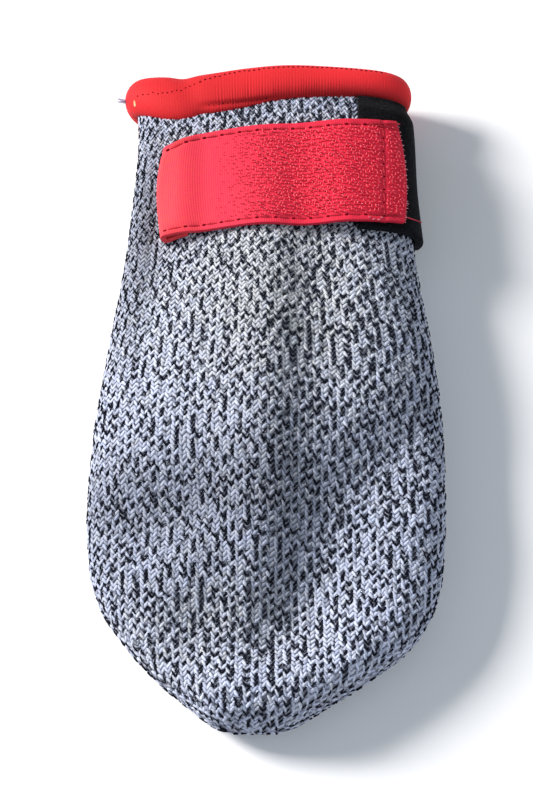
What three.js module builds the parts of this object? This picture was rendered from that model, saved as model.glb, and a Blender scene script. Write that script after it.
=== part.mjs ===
// A dog's protective sock, empty and lying on its back: a hollow knitted pouch with a rolled overlocked
// cuff, a hook tape sewn across the front below the cuff, and a soft tab that closes round the side.
// Millimetres, +Z up. The toe points to -Y, the open collar to +Y, and the origin is on the floor
// under the middle of the sock.
import * as THREE from "three";

// Driving dimensions
const LENGTH = 144; // toe tip to cuff rim
const WALL = 1.5; // knitted fabric
const GAP = 0.3; // between curved pieces that touch
const TOE_ROUND = 3.2; // length over which the toe's thickness closes
const TOE_BLUNTNESS = 0.4; // below 1 the toe's width closes later than its thickness
const ROUNDNESS = 2.5; // an oval has 2; above it the sections are flatter on top and fuller at the sides
const CORNER_SPREAD = 1.25; // width of the rounded lower corners, as a share of the waist's height
const CORNER_LIMIT = 0.85; // most of the half-width that a lower corner takes at the narrow toe
const CORNER_TURN = 0.56; // share of a lower quarter turn that the rounded corner takes

const CUFF = { thickness: 6, rimDepth: 1.9, underHeight: 7.6 };
const SAG_START = 122; // from here to the rim the collar sags on its left
const STRAP = { width: 24.2, leftWidth: 23.2, thickness: 1.6, left: -21, right: 26.4, middle: 115.8 };
const STRAP_LINE = { tilt: 0.043, bow: 0.7, sweep: 1.35 }; // how the strap's middle line leaves the straight
const STRAP_ENDS = { leftBow: 1.4, rightBow: 0.9, rightSlant: 0.7 }; // bulge and slant of its cut ends
const TAB = { width: 30.4, thickness: 1.8, middle: 119.7, start: 17.5, length: 24, corner: 5 };
const TAB_RAMP = 13; // length over which the strap climbs onto the tab
const TAB_CLIMB = 2.6; // how much the tab's lower edge rises towards its free end

// Meshing
const TOP_STEPS = 30; // over the crown, waist to waist
const CORNER_STEPS = 5; // round each lower corner
const FLAT_STEPS = 4; // half of the flat underside
const TOE_RINGS = 4;
const RING_PITCH = 4;
const STRAP_COLUMNS = 22;
const STRAP_ROWS = 8;
const TAB_ROWS = 10;
const TAB_COLUMNS = 12;
const TAB_CORNER_STEPS = 5;
const CUFF_PROFILE_STEPS = 14;

// Sections from the toe tip to the collar: half-widths left and right of the middle, height of the
// crown, of the widest line (waist) and of the underside
const SECTIONS = [
  { along: 0, left: 9.6, right: 4.2, crown: 9, waist: 6, sole: 2.4 },
  { along: 4, left: 13.8, right: 9.8, crown: 11.8, waist: 6.5, sole: 1.1 },
  { along: 10, left: 20.8, right: 19.2, crown: 12.8, waist: 7, sole: 0.15 },
  { along: 17, left: 27.2, right: 28, crown: 13.4, waist: 7.4, sole: 0 },
  { along: 25, left: 32.5, right: 33, crown: 14.6, waist: 7.8, sole: 0 },
  { along: 34, left: 35, right: 34.9, crown: 16.6, waist: 8.1, sole: 0 },
  { along: 46, left: 35.5, right: 35.5, crown: 18.8, waist: 8.4, sole: 0 },
  { along: 62, left: 34.6, right: 35.4, crown: 20, waist: 8.4, sole: 0 },
  { along: 80, left: 32.2, right: 33.8, crown: 19.6, waist: 8.4, sole: 0 },
  { along: 98, left: 29.4, right: 31, crown: 18.8, waist: 8.6, sole: 0 },
  { along: 116, left: 27.4, right: 29.2, crown: 18, waist: 9, sole: 0 },
  { along: 130, left: 26.6, right: 28.7, crown: 17.2, waist: 9.5, sole: 1.3 },
  { along: 144, left: 27.6, right: 27.8, crown: 16.6, waist: 9.8, sole: 2.3 },
];

// The cuff's roll over the front, from left to right: it is fuller on the left and sags there
const CUFF_ROLL = [
  { across: -30, height: 8.6, sag: 1.0 },
  { across: -22, height: 11.8, sag: 1.8 },
  { across: -16, height: 12.2, sag: 2.1 },
  { across: -12, height: 11.2, sag: 1.9 },
  { across: -4, height: 10.0, sag: 0.8 },
  { across: 4, height: 8.5, sag: 0.1 },
  { across: 14, height: 7.6, sag: 0 },
  { across: 30, height: 7.2, sag: 0 },
];

// Soft folds of the slack front: middle across and along, length and width of the swell, the turn of its
// length from the cross direction in degrees, and its height, below zero for a trough
const FOLDS = [
  { across: -1, along: 86, length: 50, width: 10, turn: 88, height: 1.8 }, // ridge down the middle
  { across: -3, along: 50, length: 36, width: 12, turn: 82, height: 1.4 }, // its lower end
  { across: 10, along: 84, length: 34, width: 9, turn: 92, height: -0.9 }, // shallow valley beside the ridge
  { across: 28, along: 56, length: 28, width: 13, turn: 45, height: -3 }, // trough from the right side
  { across: 13, along: 36, length: 28, width: 14, turn: 62, height: -3.3 }, // where it turns down
  { across: 3, along: 20, length: 20, width: 10, turn: 40, height: -2.2 }, // its end in the empty toe
  { across: 19, along: 12, length: 30, width: 9, turn: 47, height: 1.5 }, // raised rim of the toe, right
  { across: -5, along: 7, length: 26, width: 9, turn: 5, height: 1.8 }, // raised rim of the toe, middle
  { across: -21, along: 42, length: 30, width: 13, turn: 8, height: -3.2 }, // trough from the left side
  { across: -12, along: 23, length: 16, width: 9, turn: 60, height: -1.7 }, // hollow beside the toe's rim
  { across: -23, along: 98, length: 24, width: 5, turn: 84, height: -1.2 }, // pucker below the strap's end
];

// Smooth value of one column of a table at a place in its key column, through every row
function tableValue(rows, key, column, place) {
  const last = rows.length - 1;
  let row = 0;
  while (row < last - 1 && place > rows[row + 1][key]) row += 1;
  const slopeAt = (index) => {
    const before = rows[Math.max(index - 1, 0)];
    const after = rows[Math.min(index + 1, last)];
    return (after[column] - before[column]) / (after[key] - before[key]);
  };
  const span = rows[row + 1][key] - rows[row][key];
  const share = (place - rows[row][key]) / span;
  const rise = rows[row + 1][column] - rows[row][column];
  const startSlope = slopeAt(row) * span;
  const endSlope = slopeAt(row + 1) * span;
  const bend = 3 * rise - 2 * startSlope - endSlope;
  const twist = startSlope + endSlope - 2 * rise;
  return rows[row][column] + startSlope * share + bend * share ** 2 + twist * share ** 3;
}

// Height of all folds over a place on the front
function foldHeight(across, along) {
  let height = 0;
  for (const fold of FOLDS) {
    const turn = THREE.MathUtils.degToRad(fold.turn);
    const dx = across - fold.across;
    const dy = along - fold.along;
    const lengthwise = (dx * Math.cos(turn) + dy * Math.sin(turn)) / (fold.length / 2);
    const sideways = (dy * Math.cos(turn) - dx * Math.sin(turn)) / (fold.width / 2);
    height += fold.height * Math.exp(-(lengthwise ** 2 + sideways ** 2) / 2);
  }
  return height;
}

// Place of a point of the knit in the sock's length, with the sag of the collar's left side
function lengthwise(across, along) {
  const within = THREE.MathUtils.clamp(across, CUFF_ROLL[0].across, CUFF_ROLL.at(-1).across);
  const sag = tableValue(CUFF_ROLL, "across", "sag", within);
  return along - LENGTH / 2 - sag * THREE.MathUtils.smoothstep(along, SAG_START, LENGTH);
}

// Outer face of the knit. The turn is 0 at the right waist, a quarter at the crown, half at the left
// waist and three quarters at the middle of the underside; the whole round is 1.
function skin(turn, along) {
  const at = (column) => tableValue(SECTIONS, "along", column, along);
  const close = along < TOE_ROUND ? Math.sqrt(1 - (1 - along / TOE_ROUND) ** 2) : 1;
  const narrow = close ** TOE_BLUNTNESS;
  const waist = at("waist");
  const rise = (at("crown") - waist) * close;
  const drop = (waist - Math.max(at("sole"), 0)) * close;
  const share = ((turn % 1) + 1) % 1;
  const rightSide = share < 0.25 || share > 0.75;
  const half = (rightSide ? at("right") : at("left")) * narrow;
  const side = rightSide ? 1 : -1;
  if (share <= 0.5) {
    const angle = 2 * Math.PI * share;
    const across = half * Math.cos(angle);
    const swell = (1 - Math.abs(Math.cos(angle)) ** ROUNDNESS) ** (1 / ROUNDNESS);
    const lift = foldHeight(across, along) * close;
    return new THREE.Vector3(across, lengthwise(across, along), waist + (rise + lift) * swell);
  }
  const quarter = rightSide ? (1 - share) * 4 : (share - 0.5) * 4;
  const corner = Math.min(CORNER_SPREAD * drop, CORNER_LIMIT * half);
  const arc = Math.min(quarter / CORNER_TURN, 1) * (Math.PI / 2);
  const flat = Math.max((quarter - CORNER_TURN) / (1 - CORNER_TURN), 0);
  const reach = (half - corner + corner * Math.cos(arc)) * (1 - flat) * side;
  const down = flat > 0 ? drop : drop * Math.sin(arc);
  return new THREE.Vector3(reach, lengthwise(reach, along), waist - down);
}

// Outward direction of the knit's outer face
function skinNormal(turn, along) {
  const turnStep = 0.002;
  const alongStep = Math.min(0.2, Math.max(along * 0.3, 0.01));
  const around = skin(turn + turnStep, along).sub(skin(turn - turnStep, along));
  const forward = skin(turn, along + alongStep).sub(skin(turn, Math.max(along - alongStep, 0)));
  return forward.cross(around).normalize();
}

// Point at a height over the knit's outer face, or inside it where the height is below zero
function over(turn, along, height) {
  return skin(turn, along).addScaledVector(skinNormal(turn, along), height);
}

// Turn reached by walking over the front from the crown line, to the right for a positive distance
function turnAfter(distance, along) {
  const step = 0.0025;
  const way = distance < 0 ? step : -step;
  let left = Math.abs(distance);
  let turn = 0.25;
  let here = skin(turn, along);
  for (;;) {
    const next = skin(turn + way, along);
    const stride = next.distanceTo(here);
    if (stride >= left) return turn + (way * left) / stride;
    left -= stride;
    turn += way;
    here = next;
  }
}

// Closed skin over rows of points: each row is a ring of points, or one point that closes an end.
// With a loop the last row is joined to the first.
function loft(rows, loop = false) {
  const positions = [];
  const starts = rows.map((row) => {
    const start = positions.length / 3;
    for (const point of row) positions.push(point.x, point.y, point.z);
    return start;
  });
  const triangles = [];
  const bands = loop ? rows.length : rows.length - 1;
  for (let band = 0; band < bands; band += 1) {
    const next = (band + 1) % rows.length;
    const size = Math.max(rows[band].length, rows[next].length);
    const here = (index) => starts[band] + (rows[band].length > 1 ? index % size : 0);
    const there = (index) => starts[next] + (rows[next].length > 1 ? index % size : 0);
    for (let index = 0; index < size; index += 1) {
      if (rows[band].length > 1) triangles.push(here(index), here(index + 1), there(index));
      if (rows[next].length > 1) triangles.push(here(index + 1), there(index + 1), there(index));
    }
  }
  const geometry = new THREE.BufferGeometry();
  geometry.setAttribute("position", new THREE.Float32BufferAttribute(positions, 3));
  geometry.setIndex(triangles);
  geometry.computeVertexNormals();
  return geometry;
}

// Turns of the points of one ring, closest together where the section bends most
function ringTurns() {
  const turns = [];
  for (let step = 0; step < TOP_STEPS; step += 1) turns.push((0.5 * step) / TOP_STEPS);
  const cornerEnd = 0.25 * CORNER_TURN;
  const flatLength = 0.25 - cornerEnd;
  for (let step = 0; step < CORNER_STEPS; step += 1) turns.push(0.5 + (cornerEnd * step) / CORNER_STEPS);
  for (let step = 0; step < FLAT_STEPS; step += 1) {
    turns.push(0.5 + cornerEnd + (flatLength * step) / FLAT_STEPS);
  }
  for (let step = 0; step < FLAT_STEPS; step += 1) turns.push(0.75 + (flatLength * step) / FLAT_STEPS);
  for (let step = 0; step < CORNER_STEPS; step += 1) {
    turns.push(1 - cornerEnd + (cornerEnd * step) / CORNER_STEPS);
  }
  return turns;
}

// Places of the rings along the pouch: round the toe's edge, then evenly up to the knit's own edge
function ringPlaces(collar) {
  const places = [];
  for (let ring = 1; ring <= TOE_RINGS; ring += 1) {
    places.push(TOE_ROUND * (1 - Math.cos((Math.PI / 2) * (ring / TOE_RINGS))));
  }
  const count = Math.round((collar - TOE_ROUND) / RING_PITCH);
  for (let ring = 1; ring <= count; ring += 1) {
    places.push(TOE_ROUND + ((collar - TOE_ROUND) * ring) / count);
  }
  return places;
}

// The knitted pouch: inner face from the toe to the collar, over the edge, outer face back to the toe
function knitBody() {
  const collar = LENGTH - CUFF.rimDepth - GAP;
  const turns = ringTurns();
  const places = ringPlaces(collar);
  const ringAt = (along, height) => turns.map((turn) => over(turn, along, height));
  const tip = skin(0.25, 0);
  const innerTip = tip.clone().add(new THREE.Vector3(0, WALL, 0));
  const inner = places.map((along) => ringAt(along, -WALL));
  const outer = places.map((along) => ringAt(along, 0)).reverse();
  return loft([[innerTip], ...inner, ...outer, [tip]]);
}

// Height of the cuff's roll at one turn: as the table says over the front, even underneath
function cuffHeight(turn) {
  const front = Math.max(Math.sin(2 * Math.PI * turn), 0) ** 0.5;
  const roll = tableValue(CUFF_ROLL, "across", "height", skin(turn, LENGTH).x);
  return CUFF.underHeight + (roll - CUFF.underHeight) * front;
}

// The cuff's roll at one turn: an oval bead with a slot that the knit's edge goes into, flat on the floor
function cuffRing(turn) {
  const half = cuffHeight(turn) / 2;
  const bulge = CUFF.thickness / 2;
  const slotHalf = WALL / 2 + GAP;
  const lip = Math.asin(slotHalf / bulge);
  const profile = [];
  for (let step = 0; step <= CUFF_PROFILE_STEPS; step += 1) {
    const angle = lip + ((2 * Math.PI - 2 * lip) * step) / CUFF_PROFILE_STEPS;
    profile.push([LENGTH - half - half * Math.cos(angle), bulge * Math.sin(angle)]);
  }
  const slotEnd = LENGTH - CUFF.rimDepth;
  profile.push([slotEnd, -slotHalf], [slotEnd, slotHalf]);
  return profile.map(([along, height]) => {
    const point = over(turn, along, height - WALL / 2);
    point.z = Math.max(point.z, 0);
    return point;
  });
}

function cuff() {
  return loft(ringTurns().map(cuffRing), true);
}

// A flat piece laid on the front: rings round its thickness, one for each column of its length
function laidPiece(columns) {
  const rings = columns.map(({ lower, upper }) => [...lower, ...[...upper].reverse()]);
  const middleOf = (ring) => {
    const middle = new THREE.Vector3();
    for (const point of ring) middle.addScaledVector(point, 1 / ring.length);
    return middle;
  };
  return loft([[middleOf(rings[0])], ...rings, [middleOf(rings.at(-1))]]);
}

// Height of the strap's lower face: it rises over the tab where the two overlap
function strapSeat(distance) {
  const ramp = THREE.MathUtils.smoothstep(distance, TAB.start - GAP - TAB_RAMP, TAB.start - GAP);
  return GAP + ramp * (TAB.thickness + GAP);
}

// Share of the strap's length on either side of its middle, from -1 at the left to 1 at the right
function strapShare(distance) {
  return (2 * (distance - STRAP.left)) / (STRAP.right - STRAP.left) - 1;
}

// Middle line of the strap along the sock: tilted, bowed towards the cuff, its ends swept opposite ways
function strapMiddle(distance) {
  const share = strapShare(distance);
  const { tilt, bow, sweep } = STRAP_LINE;
  return STRAP.middle + tilt * distance + bow * (0.5 - share ** 2) + sweep * share ** 3;
}

// Width of the strap: its left end is drawn in
function strapWidth(distance) {
  const full = THREE.MathUtils.smoothstep(strapShare(distance), -1, 0);
  return THREE.MathUtils.lerp(STRAP.leftWidth, STRAP.width, full);
}

function strap() {
  const columns = [];
  for (let column = 0; column <= STRAP_COLUMNS; column += 1) {
    const lower = [];
    const upper = [];
    for (let row = 0; row <= STRAP_ROWS; row += 1) {
      const aside = (2 * row) / STRAP_ROWS - 1;
      const bow = 1 - aside ** 2;
      const leftEnd = STRAP.left - STRAP_ENDS.leftBow * bow;
      const rightEnd = STRAP.right + STRAP_ENDS.rightBow * bow - STRAP_ENDS.rightSlant * aside;
      const distance = THREE.MathUtils.lerp(leftEnd, rightEnd, column / STRAP_COLUMNS);
      const seat = strapSeat(distance);
      const along = strapMiddle(distance) + (aside * strapWidth(distance)) / 2;
      const turn = turnAfter(distance, along);
      lower.push(over(turn, along, seat));
      upper.push(over(turn, along, seat + STRAP.thickness));
    }
    columns.push({ lower, upper });
  }
  return laidPiece(columns);
}

// Distances of the tab's columns from its sewn end, closer together round its free corners
function tabColumns() {
  const straight = TAB.length - TAB.corner;
  const distances = [];
  for (let step = 0; step <= TAB_COLUMNS; step += 1) distances.push((straight * step) / TAB_COLUMNS);
  for (let step = 1; step <= TAB_CORNER_STEPS; step += 1) {
    distances.push(straight + TAB.corner * Math.sin((Math.PI / 2) * (step / TAB_CORNER_STEPS)));
  }
  return distances;
}

function tab() {
  const columns = tabColumns().map((distance) => {
    const into = Math.max(distance - (TAB.length - TAB.corner), 0);
    const halfWidth = TAB.width / 2 - TAB.corner + Math.sqrt(Math.max(TAB.corner ** 2 - into ** 2, 0));
    const climb = TAB_CLIMB * (distance / TAB.length) ** 2;
    const lower = [];
    const upper = [];
    for (let row = 0; row <= TAB_ROWS; row += 1) {
      const along = TAB.middle + halfWidth - (2 * halfWidth - climb) * (1 - row / TAB_ROWS);
      const turn = turnAfter(TAB.start + distance, along);
      lower.push(over(turn, along, GAP));
      upper.push(over(turn, along, GAP + TAB.thickness));
    }
    return { lower, upper };
  });
  return laidPiece(columns);
}

function piece(name, geometry, finish) {
  const mesh = new THREE.Mesh(geometry, new THREE.MeshStandardMaterial(finish));
  mesh.name = name;
  return mesh;
}

const sock = new THREE.Group();
sock.add(
  piece("knit_body", knitBody(), { color: 0x8c90a0, roughness: 0.95, metalness: 0 }),
  piece("cuff", cuff(), { color: 0xd93238, roughness: 0.8, metalness: 0 }),
  piece("strap", strap(), { color: 0xdc3d52, roughness: 0.7, metalness: 0 }),
  piece("tab", tab(), { color: 0x18191c, roughness: 0.9, metalness: 0 }),
);

export default sock;
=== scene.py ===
# %% [markdown]
# # A dog's protective sock
# This lesson dresses a small sock for a dog's paw: a knitted pouch of marled yarn with a red rolled cuff,
# a red hook tape sewn across the front, and a soft black tab that closes round the side. Its plain solids
# are already packed at their real size and are loaded here as a fixed frame. The steps replace them with
# what the real sock shows: stitches, ribs, hooks, seams, threads and nap.

import math

import bpy
import numpy as np
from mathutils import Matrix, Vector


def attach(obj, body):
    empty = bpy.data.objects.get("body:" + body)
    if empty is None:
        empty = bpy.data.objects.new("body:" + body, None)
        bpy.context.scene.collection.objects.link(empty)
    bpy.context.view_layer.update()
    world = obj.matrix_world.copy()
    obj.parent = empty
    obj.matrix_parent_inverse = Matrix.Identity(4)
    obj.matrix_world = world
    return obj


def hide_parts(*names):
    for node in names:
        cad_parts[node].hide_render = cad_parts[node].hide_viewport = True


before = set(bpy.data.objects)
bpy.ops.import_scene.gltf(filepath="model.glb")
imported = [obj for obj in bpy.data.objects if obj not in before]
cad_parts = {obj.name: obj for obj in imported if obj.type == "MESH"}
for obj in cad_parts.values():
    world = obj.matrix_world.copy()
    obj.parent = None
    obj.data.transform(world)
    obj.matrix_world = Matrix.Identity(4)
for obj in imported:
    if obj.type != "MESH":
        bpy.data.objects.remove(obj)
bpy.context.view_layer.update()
MM = 0.001


# %% [markdown]
# ## The pouch as a function
# Everything on this sock lies on one soft form, so the form is written once, as a function of two numbers:
# the turn round the section and the place along the sock from the toe. A short table gives the half-widths
# and heights of thirteen sections, and a smooth curve runs through its rows. The slack front gets its folds
# as a second table of soft swells and troughs, each with a place, a length, a width, a turn and a height.
# Modelling the folds by hand with proportional editing would work too, but every later piece would then
# have to be fitted to them; with a function they all agree. All sizes here are millimetres.

# %% Sections and folds
LENGTH = 144.0
WALL = 1.5
# place along the sock; half-widths to the left and right; heights of the crown, the waist and the sole
SECTIONS = np.array([
    (0, 9.6, 4.2, 9, 6, 2.4),
    (4, 13.8, 9.8, 11.8, 6.5, 1.1),
    (10, 20.8, 19.2, 12.8, 7, 0.15),
    (17, 27.2, 28, 13.4, 7.4, 0),
    (25, 32.5, 33, 14.6, 7.8, 0),
    (34, 35, 34.9, 16.6, 8.1, 0),
    (46, 35.5, 35.5, 18.8, 8.4, 0),
    (62, 34.6, 35.4, 20, 8.4, 0),
    (80, 32.2, 33.8, 19.6, 8.4, 0),
    (98, 29.4, 31, 18.8, 8.6, 0),
    (116, 27.4, 29.2, 18, 9, 0),
    (130, 26.6, 28.7, 17.2, 9.5, 1.3),
    (144, 27.6, 27.8, 16.6, 9.8, 2.3),
])
LEFT, RIGHT, CROWN, WAIST, SOLE = range(1, 6)
# place across the collar; height of the cuff's roll over the front; sag of the collar there
CUFF_ROLL = np.array([
    (-30, 8.6, 1.0),
    (-22, 11.8, 1.8),
    (-16, 12.2, 2.1),
    (-12, 11.2, 1.9),
    (-4, 10.0, 0.8),
    (4, 8.5, 0.1),
    (14, 7.6, 0),
    (30, 7.2, 0),
])
ROLL, SAG = 1, 2
SAG_START = 122.0  # from here to the rim the collar sags on its left
# across, along, length, width, turn in degrees from the cross direction, height
FOLDS = [
    (-1, 86, 50, 10, 88, 1.8),  # ridge down the middle
    (-3, 50, 36, 12, 82, 1.4),  # its lower end
    (10, 84, 34, 9, 92, -0.9),  # shallow valley beside the ridge
    (28, 56, 28, 13, 45, -3),  # trough from the right side
    (13, 36, 28, 14, 62, -3.3),  # where it turns down
    (3, 20, 20, 10, 40, -2.2),  # its end in the empty toe
    (19, 12, 30, 9, 47, 1.5),  # raised rim of the toe, right
    (-5, 7, 26, 9, 5, 1.8),  # raised rim of the toe, middle
    (-21, 42, 30, 13, 8, -3.2),  # trough from the left side
    (-12, 23, 16, 9, 60, -1.7),  # hollow beside the toe's rim
    (-23, 98, 24, 5, 84, -1.2),  # pucker below the strap's end
]
print("sections:", len(SECTIONS), "folds:", len(FOLDS))

# %% [markdown]
# Four small functions read these tables. One runs a smooth curve through the rows, one sums the swells, and a
# soft step and a soft hump fade one form into the next.

# %% Reading the tables
def table_value(rows, column, place):
    """Smooth value of one column at places in the first column, through every row."""
    keys, values = rows[:, 0], rows[:, column]
    last = len(rows) - 1
    before = np.maximum(np.arange(last + 1) - 1, 0)
    after = np.minimum(np.arange(last + 1) + 1, last)
    slopes = (values[after] - values[before]) / (keys[after] - keys[before])
    row = np.clip(np.searchsorted(keys, place) - 1, 0, last - 1)
    span = keys[row + 1] - keys[row]
    share = (place - keys[row]) / span
    rise = values[row + 1] - values[row]
    start, end = slopes[row] * span, slopes[row + 1] * span
    square = (3 * rise - 2 * start - end) * share**2
    cube = (start + end - 2 * rise) * share**3
    return values[row] + start * share + square + cube


def smoothstep(value, start, end):
    """Soft step from 0 at the start to 1 at the end."""
    share = np.clip((value - start) / (end - start), 0, 1)
    return share * share * (3 - 2 * share)


def hump(value, middle, width):
    """Soft hump: 1 at the middle, falling away on both sides."""
    return np.exp(-(((value - middle) / width) ** 2))


def soft_swells(rows, across, along):
    """Sum of soft oval swells at a place on the front; a row is like a row of the folds."""
    height = np.zeros_like(across)
    for middle, place, length, width, turn, rise in rows:
        cosine, sine = math.cos(math.radians(turn)), math.sin(math.radians(turn))
        dx, dy = across - middle, along - place
        endways = (dx * cosine + dy * sine) / (length / 2)
        sideways = (dy * cosine - dx * sine) / (width / 2)
        height += rise * np.exp(-(endways**2 + sideways**2) / 2)
    return height


print("crown at half the length:", round(float(table_value(SECTIONS, CROWN, LENGTH / 2)), 1))

# %% [markdown]
# ## Points, directions and distances on the pouch
# `skin` gives the outer face of the knit. Its upper half is a flattened oval, its underside has round corners
# and a flat that rests on the floor, and the toe closes bluntly. To lay something on a surface we also need
# its directions there: `surface_frame` measures them for any surface that is given as a function, by stepping
# a little to each side, which saves working out derivatives by hand.

# %% Skin of the pouch
TOE_ROUND = 3.2  # length over which the toe's thickness closes
TOE_BLUNTNESS = 0.4  # below 1 the toe's width closes later than its thickness
ROUNDNESS = 2.5  # an oval has 2; above it the sections are flatter on top and fuller at the sides
CORNER_SPREAD = 1.25  # width of the rounded lower corners, as a share of the waist's height
CORNER_LIMIT = 0.85  # most of the half-width that a lower corner takes at the narrow toe
CORNER_TURN = 0.56  # share of a lower quarter turn that the rounded corner takes


def lengthwise(across, along):
    """Place in the sock's length, with the sag of the collar's left side."""
    sag = table_value(CUFF_ROLL, SAG, np.clip(across, CUFF_ROLL[0, 0], CUFF_ROLL[-1, 0]))
    return along - LENGTH / 2 - sag * smoothstep(along, SAG_START, LENGTH)


def skin(turn, along):
    """Outer face of the knit: turn 0 is the right side, a quarter the crown, half the left side."""
    turn, along = np.broadcast_arrays(np.asarray(turn, float), np.maximum(np.asarray(along, float), 0))
    close = np.sqrt(1 - np.clip(1 - along / TOE_ROUND, 0, 1) ** 2)
    narrow = close**TOE_BLUNTNESS
    share = turn % 1
    right_side = (share < 0.25) | (share > 0.75)
    side = np.where(right_side, 1.0, -1.0)
    half = np.where(right_side, table_value(SECTIONS, RIGHT, along), table_value(SECTIONS, LEFT, along))
    half = narrow * half
    waist = table_value(SECTIONS, WAIST, along)
    rise = close * (table_value(SECTIONS, CROWN, along) - waist)
    drop = close * (waist - np.maximum(table_value(SECTIONS, SOLE, along), 0))
    angle = 2 * np.pi * share
    across = half * np.cos(angle)
    swell = (1 - np.abs(np.cos(angle)) ** ROUNDNESS) ** (1 / ROUNDNESS)
    top = waist + swell * (rise + close * soft_swells(FOLDS, across, along))
    quarter = 4 * np.where(right_side, 1 - share, share - 0.5)
    corner = np.minimum(CORNER_SPREAD * drop, CORNER_LIMIT * half)
    arc = np.clip(quarter / CORNER_TURN, 0, 1) * np.pi / 2
    flat = np.clip((quarter - CORNER_TURN) / (1 - CORNER_TURN), 0, 1)
    reach = side * (half - corner + corner * np.cos(arc)) * (1 - flat)
    under = share > 0.5
    x = np.where(under, reach, across)
    z = np.where(under, waist - drop * np.sin(arc), top)
    return np.stack([x, lengthwise(x, along), z], axis=-1)


CROWN_TURN = 0.25
print("crown of the middle section:", skin(CROWN_TURN, LENGTH / 2).round(1))

# %% Directions and distances on a surface
TURN_STEP = -0.002  # towards the right over the front
ALONG_STEP = 0.15
WALK = np.linspace(0.5, -0.25, 301)  # left side, over the crown, round the right side to the sole's middle
CROWN_STEP = 100  # the step of this walk that lies on the crown line


def unit(vectors):
    """The same directions with length one."""
    return vectors / np.maximum(np.linalg.norm(vectors, axis=-1, keepdims=True), 1e-9)


def surface_frame(place, first, second, first_step, second_step):
    """Points of a surface given as a function, with its first direction, second direction and normal."""
    right = unit(place(first + first_step, second) - place(first - first_step, second))
    up = place(first, second + second_step) - place(first, second - second_step)
    normal = unit(np.cross(right, up))
    return place(first, second), right, np.cross(normal, right), normal


def lay(turn, along, height):
    """Points at a height over the knit's outer face, or inside it where the height is below zero."""
    point, _, _, normal = surface_frame(skin, turn, along, TURN_STEP, ALONG_STEP)
    return point + normal * np.asarray(height)[..., None]


def walked_along(points):
    """Length walked along a line of points, from the first one to each of them."""
    steps = np.linalg.norm(np.diff(points, axis=-2), axis=-1)
    return np.concatenate([np.zeros_like(steps[..., :1]), np.cumsum(steps, axis=-1)], axis=-1)


def turn_after(distance, along):
    """Turn reached by walking over the front from the crown line, to the right for a positive distance."""
    distance, along = np.broadcast_arrays(np.asarray(distance, float), np.asarray(along, float))
    walked = walked_along(skin(WALK[None, :], along.reshape(-1, 1)))
    walked -= walked[:, [CROWN_STEP]]
    turns = [np.interp(goal, ways, WALK) for goal, ways in zip(distance.ravel(), walked)]
    return np.array(turns).reshape(distance.shape)


print("turn 20 mm right of the crown line:", round(float(turn_after(20.0, LENGTH / 2)), 3))

# %% [markdown]
# ## Small helpers
# Each piece starts as a primitive that an operator adds. `only` selects one object, because an operator acts
# on all that is selected. `shape_grid` lays a flat grid onto a surface, `finish_piece` gives a piece its
# material and lets it ride on the sock's one body, and `apply_modifier` adds a modifier and applies it at
# once.

# %% Helpers that shape a piece
def only(piece):
    """Selects this object alone and makes it active."""
    bpy.ops.object.select_all(action="DESELECT")
    piece.select_set(True)
    bpy.context.view_layer.objects.active = piece


def points_of(piece):
    """The vertices of a mesh object as an array."""
    flat = np.empty(len(piece.data.vertices) * 3)
    piece.data.vertices.foreach_get("co", flat)
    return flat.reshape(-1, 3)


def move_points(piece, millimetres):
    """Moves the vertices of a mesh object to places given in millimetres."""
    piece.data.vertices.foreach_set("co", (np.asarray(millimetres) * MM).ravel())
    piece.data.update()


def named(name):
    """Names the object that an operator has just added."""
    piece = bpy.context.object
    piece.name = piece.data.name = name
    return piece


def shape_grid(name, columns, rows, place):
    """A grid primitive laid onto a surface; place takes its two shares, both from 0 to 1."""
    bpy.ops.object.select_all(action="DESELECT")
    bpy.ops.mesh.primitive_grid_add(x_subdivisions=columns, y_subdivisions=rows, size=1)
    piece = named(name)
    flat = points_of(piece)
    move_points(piece, place(flat[:, 0] + 0.5, flat[:, 1] + 0.5))
    return piece


def grid_shares(columns, rows):
    """The two shares of every vertex of such a grid, in the order of its vertices."""
    first, second = np.meshgrid(np.linspace(0, 1, columns + 1), np.linspace(0, 1, rows + 1))
    return first.ravel(), second.ravel()


# %% Helpers that finish a piece
MERGE_DISTANCE = 1e-6  # in metres
BEVEL_ANGLE = math.radians(50)


def apply_modifier(piece, kind, **settings):
    """Adds a modifier with these settings and applies it."""
    only(piece)
    step = piece.modifiers.new(kind.title(), kind)
    for key, value in settings.items():
        setattr(step, key, value)
    bpy.ops.object.modifier_apply(modifier=step.name)


def soften_edges(piece, width, segments):
    """Rounds the cut edges of a piece; the width is in millimetres."""
    apply_modifier(
        piece, "BEVEL", width=width * MM, segments=segments, limit_method="ANGLE", angle_limit=BEVEL_ANGLE
    )


def clean_mesh(piece):
    """Merges doubled vertices and points all faces outwards."""
    only(piece)
    bpy.ops.object.mode_set(mode="EDIT")
    bpy.ops.mesh.select_all(action="SELECT")
    bpy.ops.mesh.remove_doubles(threshold=MERGE_DISTANCE)
    bpy.ops.mesh.normals_make_consistent(inside=False)
    bpy.ops.object.mode_set(mode="OBJECT")


def point_attribute(piece, name, values):
    """Stores one number for each vertex, for a material to read."""
    attribute = piece.data.attributes.new(name, "FLOAT", "POINT")
    attribute.data.foreach_set("value", np.asarray(values, np.float32).ravel())


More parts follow.
